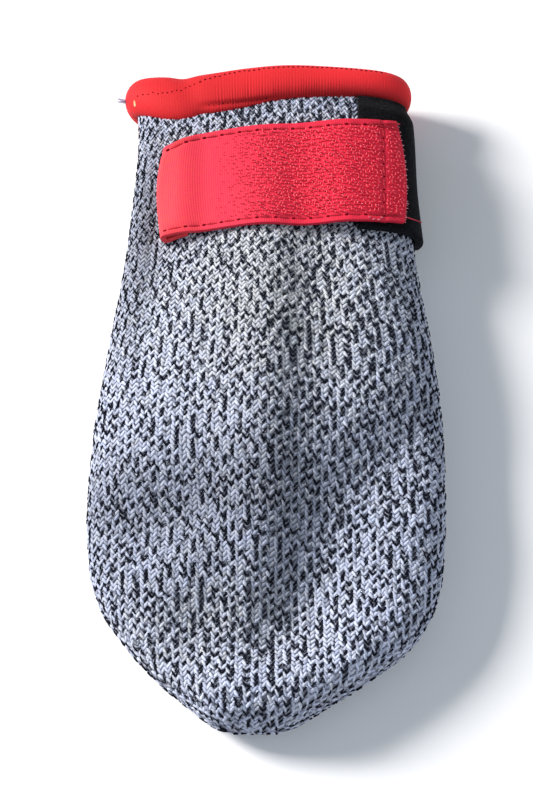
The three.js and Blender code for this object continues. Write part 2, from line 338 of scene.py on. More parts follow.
def finish_piece(piece, material, smooth_angle=None, stands_for=None):
    """Gives a piece its shading and material, and lets it ride on the sock."""
    only(piece)
    if smooth_angle is None:
        bpy.ops.object.shade_smooth()
    else:
        bpy.ops.object.shade_smooth_by_angle(angle=math.radians(smooth_angle))
    piece.data.materials.clear()
    piece.data.materials.append(material)
    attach(piece, "root")
    if stands_for:
        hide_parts(stands_for)
    piece.data.calc_loop_triangles()
    print(piece.name, "triangles:", len(piece.data.loop_triangles))


# %% [markdown]
# ## Small helpers for materials
# A material here is one Principled shader. Numbers that are the same all over are set on its own sockets, and
# nodes feed only what varies: colour from an attribute or a noise, and bump for what is too fine to model.

# %% Helpers for nodes
def new_material(name, sockets):
    """A material whose Principled shader has these values on its own sockets."""
    material = bpy.data.materials.new(name)
    material.use_nodes = True
    shader = material.node_tree.nodes["Principled BSDF"]
    for socket, value in sockets.items():
        shader.inputs[socket].default_value = value
    return material


def add_node(material, kind, inputs=None, **settings):
    """Adds a node; an input is a plain value or the output that feeds it."""
    node = material.node_tree.nodes.new(kind)
    for key, value in settings.items():
        setattr(node, key, value)
    for socket, value in (inputs or {}).items():
        if isinstance(value, bpy.types.NodeSocket):
            material.node_tree.links.new(value, node.inputs[socket])
        else:
            node.inputs[socket].default_value = value
    return node


def feed(material, socket, output):
    """Links an output to a socket of the material's Principled shader."""
    shader = material.node_tree.nodes["Principled BSDF"]
    material.node_tree.links.new(output, shader.inputs[socket])


# %% Helpers for colour and relief
def colour_ramp(material, factor, stops):
    """Output of a colour ramp with these (position, linear colour) stops."""
    node = add_node(material, "ShaderNodeValToRGB", {"Fac": factor})
    elements = node.color_ramp.elements
    while len(elements) < len(stops):
        elements.new(1.0)
    for element, (position, colour) in zip(elements, stops):
        element.position = position
        element.color = (*colour, 1.0)
    return node.outputs["Color"]


def object_noise(material, grains, detail=2.0, stretch=(1.0, 1.0, 1.0)):
    """Output of a noise on the object's own coordinates, in grains to the metre, stretched along the axes."""
    place = add_node(material, "ShaderNodeTexCoord").outputs["Object"]
    mapping = add_node(material, "ShaderNodeMapping", {"Vector": place, "Scale": stretch})
    noise = add_node(material, "ShaderNodeTexNoise", {
        "Vector": mapping.outputs["Vector"], "Scale": grains, "Detail": detail,
    })
    return noise.outputs["Fac"]


def stored_value(material, name):
    """Output of a number that is stored on the mesh under this name."""
    return add_node(material, "ShaderNodeAttribute", attribute_name=name).outputs["Fac"]


def scaled_colour(material, colour, factor):
    """Output of a colour made brighter or duller by a factor."""
    node = add_node(material, "ShaderNodeVectorMath", {0: colour, "Scale": factor}, operation="SCALE")
    return node.outputs["Vector"]


def bump(material, height, depth, strength=1.0):
    """Feeds a bump of this depth in millimetres to the shader."""
    node = add_node(material, "ShaderNodeBump", {
        "Height": height, "Distance": depth * MM, "Strength": strength,
    })
    feed(material, "Normal", node.outputs["Normal"])


def mottled_material(name, roughness, specular, grains, stops):
    """A material whose colour wanders between these stops with a noise."""
    material = new_material(name, {"Roughness": roughness, "Specular IOR Level": specular})
    feed(material, "Base Color", colour_ramp(material, object_noise(material, grains), stops))
    return material


# %% [markdown]
# ## The wall of the pouch
# The real pouch is knitted whole. Its fabric is made in two layers here: a plain wall that closes the form
# and shows inside the collar, and the stitches that stand on it. The wall starts as a grid. Its columns are
# wrapped round the sections, the first row closes at the toe, the doubled seam is merged, and Solidify gives
# the thickness inwards. Rows follow the length of the crown line, so that they also stay even round the blunt
# toe.

# %% Wall of the pouch
WALL_DEPTH = 0.4  # outer face of the wall under the stitches
WALL_COLUMNS, WALL_ROWS = 150, 120
KNIT_EDGE = 141.8  # the knit ends inside the cuff
TIP_ROOM = 0.02  # nearer to the toe's tip the skin has no clear direction
CROWN_PLACES = KNIT_EDGE * np.linspace(0, 1, 2401) ** 2  # close together at the toe
CROWN_LENGTHS = walked_along(skin(CROWN_TURN, CROWN_PLACES))


def wall_point(share_round, share_along):
    """Outer face of the wall at two shares of the grid."""
    along = np.interp(share_along * CROWN_LENGTHS[-1], CROWN_LENGTHS, CROWN_PLACES)
    point = lay(1 - share_round, np.maximum(along, TIP_ROOM), np.full_like(along, -WALL_DEPTH))
    tip = skin(CROWN_TURN, 0.0) + np.array([0, WALL_DEPTH, 0])
    first_row = share_along < 0.5 / WALL_ROWS
    return np.where(first_row[:, None], tip, point)


knit_wall = shape_grid("knit_wall", WALL_COLUMNS, WALL_ROWS, wall_point)
clean_mesh(knit_wall)
apply_modifier(knit_wall, "SOLIDIFY", thickness=(WALL - WALL_DEPTH) * MM, offset=-1.0)
print("length over the crown:", round(CROWN_LENGTHS[-1], 1))

# %% [markdown]
# Inside, a plain knit shows its back: rows of small dark and pale arcs. The wall's material draws those rows
# with a wave and breaks them with a noise that is stretched across the sock.

# %% Finish of the wall
COURSE = 1.02  # height of one row of stitches
WAVE_LENGTH = math.pi / 10  # length of one band of a wave texture at a scale of 1
wall_finish = new_material("knit_back", {"Roughness": 0.95, "Specular IOR Level": 0.15})
flecks = object_noise(wall_finish, grains=420.0, stretch=(1.0, 2.2, 1.0))
feed(wall_finish, "Base Color", colour_ramp(wall_finish, flecks, [
    (0.4, (0.22, 0.23, 0.29)), (0.5, (0.31, 0.325, 0.4)), (0.66, (0.4, 0.42, 0.5)),
]))
course_lines = add_node(wall_finish, "ShaderNodeTexWave", {
    "Vector": add_node(wall_finish, "ShaderNodeTexCoord").outputs["Object"],
    "Scale": WAVE_LENGTH / (COURSE * MM), "Distortion": 1.2, "Detail": 1.0, "Detail Scale": 3.0,
}, bands_direction="Y")
bump(wall_finish, course_lines.outputs["Fac"], depth=0.35)
finish_piece(knit_wall, wall_finish, stands_for="knit_body")

# %% [markdown]
# ## The layout of the stitches
# A knitted stitch shows as a V: two short legs of yarn. The Vs stack in columns, called wales, and lie in
# rows, called courses. Painting them as a bump would look flat, so each leg is a small mesh. First comes
# their layout. Up the foot every wale runs to the cuff, so the stitches narrow with the sock. In the round
# toe the wales keep their width, and the outer ones run off the edge.

# %% Layout of the stitches
WALES = 25  # on each side of the middle, front and back alike
TOE_END = 44.0  # below this place the wales keep their width
EDGE_ROOM = 0.35  # a wale stops this share of its width before the side
SIDE_STEPS = 91
# turn of the middle line, and of the edge to its left and right
SIDES = {"front": (0.25, {-1: 0.5, 1: 0.0}), "back": (0.75, {-1: 1.0, 1: 0.5})}


def side_turns(middle, edge, along):
    """Turns from the middle line to a side and the length walked to each of them, at one place."""
    turns = np.linspace(middle, edge, SIDE_STEPS)
    return turns, walked_along(skin(turns, along))


def stitch_layout(half):
    """Turn, place, wale width, wale number and course number of every stitch on the front or back."""
    middle, edges = SIDES[half]
    lengths = np.arange(0.5 * COURSE, CROWN_LENGTHS[-1], COURSE)
    found = []
    for course, along in enumerate(np.interp(lengths, CROWN_LENGTHS, CROWN_PLACES)):
        for sign, edge in edges.items():
            turns, walked = side_turns(middle, edge, along)
            full = walked[-1] if along > TOE_END else side_turns(middle, edge, TOE_END)[1][-1]
            width = full / WALES
            wales = np.arange(WALES)
            reach = (wales + 0.5) * width
            kept = reach < walked[-1] - EDGE_ROOM * width
            for wale, turn in zip(wales[kept], np.interp(reach[kept], walked, turns)):
                found.append((turn, along, width, sign * (wale + 0.5), course))
    return np.array(found)


LAYOUT = {half: stitch_layout(half) for half in SIDES}
print("stitches:", {half: len(rows) for half, rows in LAYOUT.items()})

# %% [markdown]
# ## What the cuff, the strap and the tab cover
# Legs that lie deep under another piece are left out, to keep the meshes light. So the places of the strap
# and the tab come first. Both are laid over the front by the distance walked from the crown line. The strap
# is tilted and slightly bowed, climbs onto the tab on the right, and its ends sweep opposite ways.

# %% Places of the cuff, strap and tab
GAP = 0.3  # between pieces that touch
STRAP_WIDTH, STRAP_LEFT_WIDTH = 24.2, 23.2
STRAP_LEFT, STRAP_RIGHT = -21.0, 26.4  # distances of its ends from the crown line
STRAP_MIDDLE, STRAP_TILT, STRAP_BOW, STRAP_SWEEP = 115.8, 0.043, 0.7, 1.35
TAB_WIDTH, TAB_THICKNESS, TAB_MIDDLE = 30.4, 1.8, 119.7
TAB_START, TAB_LENGTH, TAB_CORNER = 17.5, 24.0, 5.0
CUFF_THICKNESS, CUFF_UNDER = 6.0, 7.6  # thickness of the bead, and its height underneath


def strap_share(distance):
    """Share of the strap's length on either side of its middle, from -1 at the left to 1 at the right."""
    return 2 * (distance - STRAP_LEFT) / (STRAP_RIGHT - STRAP_LEFT) - 1


def strap_middle(distance):
    """Middle line of the strap along the sock."""
    share = strap_share(distance)
    return STRAP_MIDDLE + STRAP_TILT * distance + STRAP_BOW * (0.5 - share**2) + STRAP_SWEEP * share**3


def cuff_height(turn):
    """Height of the cuff's roll: fuller on the left of the front, even underneath."""
    front = np.sqrt(np.maximum(np.sin(2 * np.pi * turn), 0))
    roll = table_value(CUFF_ROLL, ROLL, skin(turn, LENGTH)[..., 0])
    return CUFF_UNDER + (roll - CUFF_UNDER) * front


print("height of the cuff on the crown line:", round(float(cuff_height(CROWN_TURN)), 1))

# %% Leave out what is covered
COVER_MARGIN = 1.4  # stitches this near to the edge of a covering piece are kept


def walked_from_crown(turn, along):
    """Distance from the crown line, to the right, of each stitch."""
    result = np.empty(len(turn))
    for place in np.unique(along):
        walked = walked_along(skin(WALK, place))
        here = along == place
        turned = np.where(turn[here] > 0.75, turn[here] - 1, turn[here])
        result[here] = np.interp(turned, WALK[::-1], (walked - walked[CROWN_STEP])[::-1])
    return result


def covered(turn, along):
    """True where the cuff, the strap or the tab hides the knit."""
    distance = walked_from_crown(turn, along)
    from_strap = np.abs(along - strap_middle(distance))
    strap = (distance > STRAP_LEFT + COVER_MARGIN) & (distance < STRAP_RIGHT - COVER_MARGIN)
    strap &= from_strap < STRAP_WIDTH / 2 - COVER_MARGIN
    tab = (distance > TAB_START + COVER_MARGIN) & (distance < TAB_START + TAB_LENGTH - COVER_MARGIN)
    tab &= np.abs(along - TAB_MIDDLE) < TAB_WIDTH / 2 - COVER_MARGIN
    tab &= (turn <= 0.5) | (turn > 0.75)
    cuff = along > LENGTH - cuff_height(turn) + COVER_MARGIN
    return strap | tab | cuff


for half, rows in LAYOUT.items():
    LAYOUT[half] = rows[~covered(rows[:, 0], rows[:, 1])]
print("stitches that show:", {half: len(rows) for half, rows in LAYOUT.items()})

# %% [markdown]
# ## Stamping many small shapes
# A shape that repeats thousands of times is modelled once, read as arrays, and written again for every place
# into one joined mesh. That is far faster than thousands of objects. Each copy gets three directions that
# carry its turn and its size. It also gets a cell of its own in a UV map, so that its colour can be baked.

# %% Stamp copies of a small shape
CELL_ROOM = 0.1  # bare border of each copy's cell in the UV map


def take_pattern():
    """Reads the active object's mesh as arrays, then removes the object."""
    piece = bpy.context.object
    mesh = piece.data
    corners = np.empty(len(mesh.loops), np.int32)
    mesh.loops.foreach_get("vertex_index", corners)
    starts = np.empty(len(mesh.polygons), np.int32)
    mesh.polygons.foreach_get("loop_start", starts)
    uv = np.zeros(len(mesh.loops) * 2)
    mesh.uv_layers.active.uv.foreach_get("vector", uv)
    pattern = {"points": points_of(piece), "corners": corners, "starts": starts, "uv": uv.reshape(-1, 2)}
    bpy.data.objects.remove(piece)
    bpy.data.meshes.remove(mesh)
    return pattern


def ball_pattern(segments, rings):
    """A ball of radius one, to stretch and stamp."""
    bpy.ops.object.select_all(action="DESELECT")
    bpy.ops.mesh.primitive_uv_sphere_add(segments=segments, ring_count=rings, radius=1.0)
    return take_pattern()


def stamp(name, pattern, origin, first, second, third):
    """One mesh of many copies: each copy's three directions, in millimetres, take the place of X, Y and Z."""
    count, size = len(origin), len(pattern["points"])
    axes = np.stack([first, second, third], axis=1)
    points = origin[:, None, :] + np.einsum("va,nac->nvc", pattern["points"], axes)
    step = np.arange(count)[:, None]
    mesh = bpy.data.meshes.new(name)
    mesh.vertices.add(count * size)
    mesh.vertices.foreach_set("co", (points * MM).ravel())
    mesh.loops.add(count * len(pattern["corners"]))
    vertex_numbers = pattern["corners"][None] + step * size
    mesh.loops.foreach_set("vertex_index", vertex_numbers.ravel().astype(np.int32))
    mesh.polygons.add(count * len(pattern["starts"]))
    loop_starts = pattern["starts"][None] + step * len(pattern["corners"])
    mesh.polygons.foreach_set("loop_start", loop_starts.ravel().astype(np.int32))
    mesh.update(calc_edges=True)
    cells = math.ceil(math.sqrt(count))
    corner = np.stack([np.arange(count) % cells, np.arange(count) // cells], axis=1)
    inside = CELL_ROOM + (1 - 2 * CELL_ROOM) * pattern["uv"]
    atlas = (corner[:, None, :] + inside[None]) / cells
    mesh.uv_layers.new(name="OFBake").uv.foreach_set("vector", atlas.ravel())
    piece = bpy.data.objects.new(name, mesh)
    bpy.context.scene.collection.objects.link(piece)
    return piece


# %% [markdown]
# ## The stitches
# One leg is a stretched ball with four sides: enough at this size, because smooth shading rounds it. The two
# legs of a stitch lean apart, and a little chance in their lean, length and place keeps the knit from looking
# printed. The dark legs are slimmer and lie on top.

# %% One leg of a stitch
RING_REACH = 1.28  # the two rings move outwards, so that a leg is blunt and not a spindle
leg_pattern = ball_pattern(segments=4, rings=3)
leg_pattern["points"][:, 2] = np.clip(leg_pattern["points"][:, 2] * RING_REACH, -1, 1)
print("faces of one leg:", len(leg_pattern["starts"]))

# %% Sizes of the legs
LEG_LEAN = {-1: math.radians(34), 1: math.radians(40)}  # the yarn's twist turns the left leg steeper
LEG_LENGTH = 1.75  # in courses
LEG_WIDTH = 0.48  # in wale widths
LEG_ASIDE = 0.25  # from the middle of the wale, in wale widths
LEG_THICKNESS = 0.44
LEG_DEPTH = 0.3  # middle of the yarn under the outer face
DARK_WIDTH, PALE_WIDTH = 0.6, 1.16  # the black thread is finer than the pale one
DARK_LENGTH, DARK_LEAN = 0.86, 0.85  # shows a shorter, steeper piece of each leg
DARK_LIFT = 0.14  # and lies on top
LEAN_CHANCE, LENGTH_CHANCE, WIDTH_CHANCE = 0.12, 0.06, 0.08  # each a share of its size
PLACE_CHANCE = 0.05  # in wale widths and courses
DEPTH_CHANCE = 0.04
print("leg in mm:", round(LEG_LENGTH * COURSE, 2), "long,", LEG_THICKNESS, "thick")

# %% [markdown]
# Which legs are dark follows the yarn: its two threads turn round each other, so dark and pale take turns
# along a course. Soft patches, placed like the folds, paint light onto some places and shade into the
# troughs and hollows, and make the yellowed places warmer.

# %% Shades of the plied yarn
DARK_SHARE = {-1: 0.18, 1: 0.42}  # share of dark legs that lean left and right
DARK_END = 0.4  # shades below this are dark yarn
TWIST, TWIST_CHANCE = 0.31, 0.08  # turns of the plied yarn from one leg to the next
COURSE_TURN = (0.2, 0.8)  # least and most turn from one course to the next
random = np.random.default_rng(41)


def yarn_turns(courses):
    """How far the yarn has turned at each leg: it turns on along a course, and each course starts anew."""
    turns = np.cumsum(TWIST + random.normal(0, TWIST_CHANCE, (courses, 4 * WALES)), axis=1)
    return (turns + np.cumsum(random.uniform(*COURSE_TURN, (courses, 1)), axis=0)) % 1


def marl(wale, course, sign, turns, density):
    """Shade of each leg: low values are dark yarn."""
    leg = 2 * (wale + WALES - 0.5).astype(int) + (sign > 0)
    value = turns[course.astype(int), leg]
    dark = DARK_SHARE[sign] * density
    pale_shade = DARK_END + (1 - DARK_END) * (value - dark) / (1 - dark)
    return np.where(value < dark, DARK_END * value / dark, pale_shade)


print("legs to a full turn of the yarn:", round(1 / TWIST, 1))

# %% Painted light and shade, and yellowed places
# across, along, length, width, turn, change of brightness; this brightness is painted light and shade
PAINTED_LIGHT_AND_SHADE = [
    (-24, 70, 36, 16, 88, 0.1),  # painted light on the left flank
    (-11, 97, 36, 20, 85, 0.12),  # painted light below the strap, left
    (19, 94, 24, 14, 90, 0.12),  # painted light below the strap, right
    (1, 13, 42, 14, 12, 0.18),  # painted light on the toe
    (22, 28, 40, 14, 52, 0.06),  # painted light on the swell beside the trough
    (-19, 46, 34, 14, 6, -0.4),  # painted shade in the fold on the left
    (-13, 26, 18, 9, 75, -0.2),  # painted shade in the hollow beside the toe's rim
    (-23.5, 112, 24, 5, 90, -0.42),  # painted shade in the strip beside the strap's left end
    (-27, 95, 28, 7, 84, -0.32),  # painted shade below it
    (3.5, 46, 48, 9, 86, -0.3),  # painted shade in the trough
    (28, 62, 26, 10, 40, -0.12),  # painted shade at its start at the right side
]
# the same, with the change of the share of dark yarn
DENSITY = [(-22, 70, 60, 22, 88, -0.25), (16, 60, 50, 20, 70, 0.08), (-14, 128, 30, 10, 0, 0.1)]
# the same, with the warmth
WARMTH = [(2, 92, 40, 34, 90, 0.8), (-10, 20, 30, 14, 10, 0.4), (10, 126, 40, 8, 0, 0.5)]
PLAIN_WARMTH = 0.2
TONE_CHANCE, WARMTH_CHANCE = 0.05, 0.15
SHADE_SLIDE = 0.1  # how much the shade changes from the middle of a leg to its end
# count of the patches of painted light and shade
print("worn or soiled places:", len(PAINTED_LIGHT_AND_SHADE))

# %% Stitches on the front and the back
def near_one(spread, count):
    """A column of factors that differ from one by chance."""
    return 1 + random.normal(0, spread, (count, 1))


def stitch_legs(half):
    """The joined mesh of all legs of the front or the back."""
    turn, along, width, wale, course = LAYOUT[half].T
    point, right, up, normal = surface_frame(skin, turn, along, TURN_STEP, ALONG_STEP)
    width, count = width[:, None], len(turn)
    turns = yarn_turns(int(course.max()) + 1)
    facing = float(half == "front")
    density = 1 + facing * soft_swells(DENSITY, point[:, 0], along)
    parts = []
    for sign in (-1, 1):
        shade = marl(wale, course, sign, turns, density)
        dark = (shade < DARK_END)[:, None]
        lean = sign * LEG_LEAN[sign] * np.where(dark, DARK_LEAN, 1) * near_one(LEAN_CHANCE, count)
        shift = random.normal(0, PLACE_CHANCE, (count, 2))
        origin = point + right * width * (LEG_ASIDE * sign + shift[:, :1]) + up * COURSE * shift[:, 1:]
        depth = LEG_DEPTH - DARK_LIFT * dark + random.normal(0, DEPTH_CHANCE, (count, 1))
        length = up * np.cos(lean) + right * np.sin(lean)
        across = right * np.cos(lean) - up * np.sin(lean)
        half_length = 0.5 * LEG_LENGTH * COURSE * np.where(dark, DARK_LENGTH, 1)
        half_length = half_length * near_one(LENGTH_CHANCE, count)
        half_width = 0.5 * LEG_WIDTH * width * np.where(dark, DARK_WIDTH, PALE_WIDTH)
        half_width = half_width * near_one(WIDTH_CHANCE, count)
        thickness = normal * (0.5 * LEG_THICKNESS)
        parts.append((origin - normal * depth, across * half_width, thickness, -length * half_length, shade))
    origin, first, second, third, shade = (np.concatenate(column) for column in zip(*parts))
    piece = stamp("knit_stitches_" + half, leg_pattern, origin, first, second, third)
    slide = random.normal(0, SHADE_SLIDE, (len(shade), 1)) * leg_pattern["points"][None, :, 2]
    point_attribute(piece, "marl", shade[:, None] + slide)
    place = [np.tile(column, 2) for column in (point[:, 0], along)]
    # painted light and shade on the front, and a little chance in the tone of each leg
    painted_light_and_tone = 1 + facing * soft_swells(PAINTED_LIGHT_AND_SHADE, *place) + random.normal(0, TONE_CHANCE, len(shade))
    warmth = PLAIN_WARMTH + facing * soft_swells(WARMTH, *place)
    warmth = warmth + random.normal(0, WARMTH_CHANCE, len(shade))
    point_attribute(piece, "painted_light_and_tone", np.repeat(painted_light_and_tone, len(leg_pattern["points"])))
    point_attribute(piece, "warmth", np.repeat(warmth, len(leg_pattern["points"])))
    return piece


stitches = {half: stitch_legs(half) for half in LAYOUT}
print("legs:", {half: 2 * len(rows) for half, rows in LAYOUT.items()})

# %% [markdown]
# The yarn is marled: a pale lavender grey thread plied with a black one. The stored shade picks the colour of
# each leg through a ramp with a sharp step. Two more stored numbers tint it and make it brighter or duller,
# the latter with painted light and shade and a little chance, and a fine noise in the bump roughens the yarn.

# %% Finish of the yarn
yarn = new_material("marled_yarn", {"Roughness": 0.95, "Specular IOR Level": 0.08})
thread = colour_ramp(yarn, stored_value(yarn, "marl"), [
    (0.0, (0.004, 0.005, 0.011)), (0.37, (0.009, 0.011, 0.02)),
    (0.45, (0.28, 0.3, 0.37)), (0.6, (0.385, 0.41, 0.5)), (1.0, (0.47, 0.5, 0.6)),
])
tint = colour_ramp(yarn, stored_value(yarn, "warmth"), [(0.0, (0.97, 1.0, 1.08)), (1.0, (1.06, 1.02, 0.88))])
tinted = add_node(yarn, "ShaderNodeVectorMath", {0: thread, 1: tint}, operation="MULTIPLY").outputs["Vector"]
# the colour is scaled by the painted light and shade
feed(yarn, "Base Color", scaled_colour(yarn, tinted, stored_value(yarn, "painted_light_and_tone")))
bump(yarn, object_noise(yarn, grains=3200.0), depth=0.12, strength=0.6)
for piece in stitches.values():
    finish_piece(piece, yarn)

# %% [markdown]
# ## The rolled cuff
# The collar is bound with red yarn, worked over the edge until it rolls into a fat bead. A torus primitive
# has this topology, but it stops at 256 columns, too few for the ribs. So a grid is wrapped round the collar
# and round the bead, and its two doubled seams are merged. The bead's oval is fuller on the left, pinched
# once and blunt at its left end, with a crease over its lower lip.

# %% Form of the bead
COLLAR_LINE = LENGTH - 4  # the collar is measured round this section
PINCH_SLANT = 3.2  # the pinch lies this much further left at the rim
CUFF_SWELLS = [  # across, width, change of the bead's size
    (-14.0, 2.4, -0.11),  # pinch
    (-22.5, 4.0, 0.05),  # bulb at the left end
    (20.0, 8.0, -0.05),  # slimmer on the right
]
CREASE_DEPTH, CREASE_WIDTH = 0.5, 0.14
CREASE_START, CREASE_END = (-15, -11), (-2, 4)  # places across where it comes and goes


def on_front(turn):
    """1 over the front of the collar, falling to 0 at its sides."""
    return np.clip(3 * np.sin(2 * np.pi * turn), 0, 1)


def collar_across(turn):
    """Place across the collar at a turn."""
    return skin(turn, COLLAR_LINE)[..., 0]


def cuff_surface(turn, angle, lift=0.0):
    """The bead: angle 0 is its edge towards the toe, a quarter turn its outside, half its rim."""
    half = cuff_height(turn) / 2
    bulge = CUFF_THICKNESS / 2
    leaning = collar_across(turn) + PINCH_SLANT * (1 - np.cos(angle)) / 2
    swell = sum(change * hump(leaning, middle, width) for middle, width, change in CUFF_SWELLS)
    size = 1 + on_front(turn) * swell
    along = LENGTH - half - (half * size + lift) * np.cos(angle)
    point = lay(turn, along, (bulge * size + lift) * np.sin(angle) - WALL / 2)
    point[..., 2] = np.maximum(point[..., 2], 0)
    return point


def lip_angle(across):
    """Place on the bead of the crease over its lower lip, which tapers to the right."""
    return np.interp(across, [-14.0, 2.0], [0.8, 0.36])


def lip_crease(turn, angle):
    """Depth of the crease over the lower lip, which shows right of the pinch."""
    across = collar_across(turn)
    reach = on_front(turn) * smoothstep(across, *CREASE_START) * (1 - smoothstep(across, *CREASE_END))
    return CREASE_DEPTH * reach * hump(angle, lip_angle(across), CREASE_WIDTH)


print("swells of the bead:", len(CUFF_SWELLS))

# %% [markdown]
# The fine ribs of the binding yarn are part of the bead's surface. They slant a little and are never quite
# even, so two slow waves shift them and two more change their height. They stand out on the lower half near
# the middle, where the roll is drawn tight.

# %% Ribs of the binding yarn
RIB_PITCH = 0.56
RIB_SLANT = 0.14  # in ribs
RIB_FAINT, RIB_STRONG = 0.015, 0.085
RIB_START, RIB_END = (-13, -7), (8, 20)  # places across where the strong ribs come and go
RIB_TOP, TOP_LOSS = (1.0, 1.8), 0.7  # angles over which they fade, and how much of them
RIB_UNEVEN = 0.35
COLLAR_TURNS = np.linspace(0, 1, 1201)
COLLAR_WALK = walked_along(skin(COLLAR_TURNS, COLLAR_LINE))
RIBS = round(COLLAR_WALK[-1] / RIB_PITCH)


def collar_share(turn):
    """Share of the way round the collar that is walked at a turn."""
    return np.interp(turn, COLLAR_TURNS, COLLAR_WALK) / COLLAR_WALK[-1]


def collar_wave(share, waves, start=0.0):
    """A sine with so many waves round the collar."""
    return np.sin(2 * np.pi * waves * share + start)


def rib_wave(turn, angle):
    """Ribs of the binding yarn, from -1 in a groove to 1 on a thread, slanted and slightly uneven."""
    share = collar_share(turn)
    shift = 0.16 * collar_wave(share, 17) + 0.1 * collar_wave(share, 41, start=1)
    return np.cos(2 * np.pi * (RIBS * share + shift + RIB_SLANT * np.sin(angle)))


def rib_depth(turn, angle):
    """Height of the ribs: strong on the lower half near the middle, faint elsewhere."""
    across, share = collar_across(turn), collar_share(turn)
    strong = smoothstep(across, *RIB_START) * (1 - smoothstep(across, *RIB_END))
    low = 1 - TOP_LOSS * smoothstep(angle, *RIB_TOP)
    uneven = 1 - RIB_UNEVEN + RIB_UNEVEN * collar_wave(share, 31) * collar_wave(share, 13, start=1)
    return RIB_FAINT + RIB_STRONG * on_front(turn) * strong * low * uneven


print("ribs round the cuff:", RIBS)

# %% Grid of the cuff
RIB_STEPS = 4  # grid columns to a rib
CUFF_COLUMNS, CUFF_ROWS = RIBS * RIB_STEPS, 56
# painted light and shade on the bead: how dull the left is, and how much brighter the middle and the top at
# the right are
LEFT_LIGHT, MIDDLE_GAIN, TOP_GAIN = 0.86, 0.16, 0.24
MIDDLE_LOSS, RIGHT_LOSS = 0.32, 0.2  # how much duller the bead is on its lower side: painted shade


def bead_place(share_round, share_bead):
    """Turn round the collar and angle round the bead at two shares of the grid."""
    return 1 - share_round, 2 * np.pi * share_bead


def cuff_point(share_round, share_bead):
    """The ribbed bead at two shares of the grid."""
    turn, angle = bead_place(share_round, share_bead)
    return cuff_surface(turn, angle, rib_depth(turn, angle) * rib_wave(turn, angle) - lip_crease(turn, angle))


def cuff_painted_light(turn, angle):
    """Painted light and shade on the red: duller on the left; from the middle on, painted shade below; at the
    right, painted light on top.
    """
    across = collar_across(turn)
    middle, right = smoothstep(across, -14, 0), smoothstep(across, 2, 20)
    top, below = smoothstep(angle, 0.9, 1.6), 1 - smoothstep(angle, 0.35, 1.15)
    gain = MIDDLE_GAIN * middle + TOP_GAIN * right * top
    return LEFT_LIGHT + gain - (MIDDLE_LOSS * middle + RIGHT_LOSS * right) * below


cuff_roll = shape_grid("cuff_roll", CUFF_COLUMNS, CUFF_ROWS, cuff_point)
turn, angle = bead_place(*grid_shares(CUFF_COLUMNS, CUFF_ROWS))
relief = rib_wave(turn, angle) * rib_depth(turn, angle) / (RIB_FAINT + RIB_STRONG)
point_attribute(cuff_roll, "rib", 0.5 + 0.5 * relief)
point_attribute(cuff_roll, "light", cuff_painted_light(turn, angle))
clean_mesh(cuff_roll)
print("grid of the cuff:", CUFF_COLUMNS, "by", CUFF_ROWS)

# %% [markdown]
# The binding yarn is a clear red, with painted shade that makes it a little darker in the grooves. Its shine
# is soft, so it gets a high roughness and little specular. The stored light paints light on the top at the
# right and shade elsewhere.

# %% Finish of the cuff
cuff_finish = new_material("cuff_yarn", {"Roughness": 0.7, "Specular IOR Level": 0.12})
# the ramp paints shade into the grooves between the ribs
red = colour_ramp(cuff_finish, stored_value(cuff_finish, "rib"), [
    (0.0, (0.36, 0.009, 0.015)), (0.4, (0.58, 0.02, 0.025)), (1.0, (0.65, 0.026, 0.03)),
])
feed(cuff_finish, "Base Color", scaled_colour(cuff_finish, red, stored_value(cuff_finish, "light")))
bump(cuff_finish, object_noise(cuff_finish, grains=2200.0, detail=3.0), depth=0.1, strength=0.5)
finish_piece(cuff_roll, cuff_finish, stands_for="cuff")

# %% [markdown]
# ## The needle lines of the cuff
# A row of needle holes runs along the top of the bead, a second one crosses its left end, and a third follows
# the crease over the lower lip. Each hole is a small dimple, dark with painted shade: a flattened ball sunk
# into the bead.

# %% Needle holes of the cuff
ANGLE_STEP = 0.03
NEEDLE_PITCH, BULB_PITCH = 1.0, 0.9  # the holes are closer on the left end
HOLE_LONG, HOLE_WIDE, HOLE_DEPTH = 0.3, 0.26, 0.14  # half-sizes of a full hole
HOLE_SINK, HOLE_CHANCE = 0.02, 0.03
LINE_SIZES = [1.0, 0.7, 0.9]  # size of the holes on the top, the left end and the lip
dot_pattern = ball_pattern(segments=6, rings=4)


def collar_turn(across):
    """Turn on the front of the collar at a place across it."""
    turns = np.linspace(0.5, 0.0, 401)
    return np.interp(across, collar_across(turns), turns)


def cuff_frame(turn, angle):
    """Points of the smooth bead with its directions and normal."""
    return surface_frame(cuff_surface, turn, angle, TURN_STEP, ANGLE_STEP)


top_across = np.arange(-13.5, 24.0, NEEDLE_PITCH)
end_across = np.arange(-25.5, -14.0, BULB_PITCH)
lip_across = np.arange(-12.0, 1.0, NEEDLE_PITCH)
hole_turn = collar_turn(np.concatenate([top_across, end_across, lip_across]))
hole_angle = np.concatenate([
    np.interp(top_across, [-13.5, -8.0], [2.05, 2.25]),
    np.interp(end_across, [-25.5, -19.0, -14.0], [1.45, 1.6, 2.05]),
    lip_angle(lip_across),
])
hole_angle = hole_angle + random.normal(0, HOLE_CHANCE, len(hole_angle))
point, right, up, normal = cuff_frame(hole_turn, hole_angle)
point = point - (HOLE_SINK + lip_crease(hole_turn, hole_angle))[:, None] * normal
size = np.repeat(LINE_SIZES, [len(top_across), len(end_across), len(lip_across)])[:, None]
cuff_holes = stamp(
    "cuff_needle_holes", dot_pattern, point,
    HOLE_LONG * size * right, HOLE_WIDE * size * up, HOLE_DEPTH * normal,
)
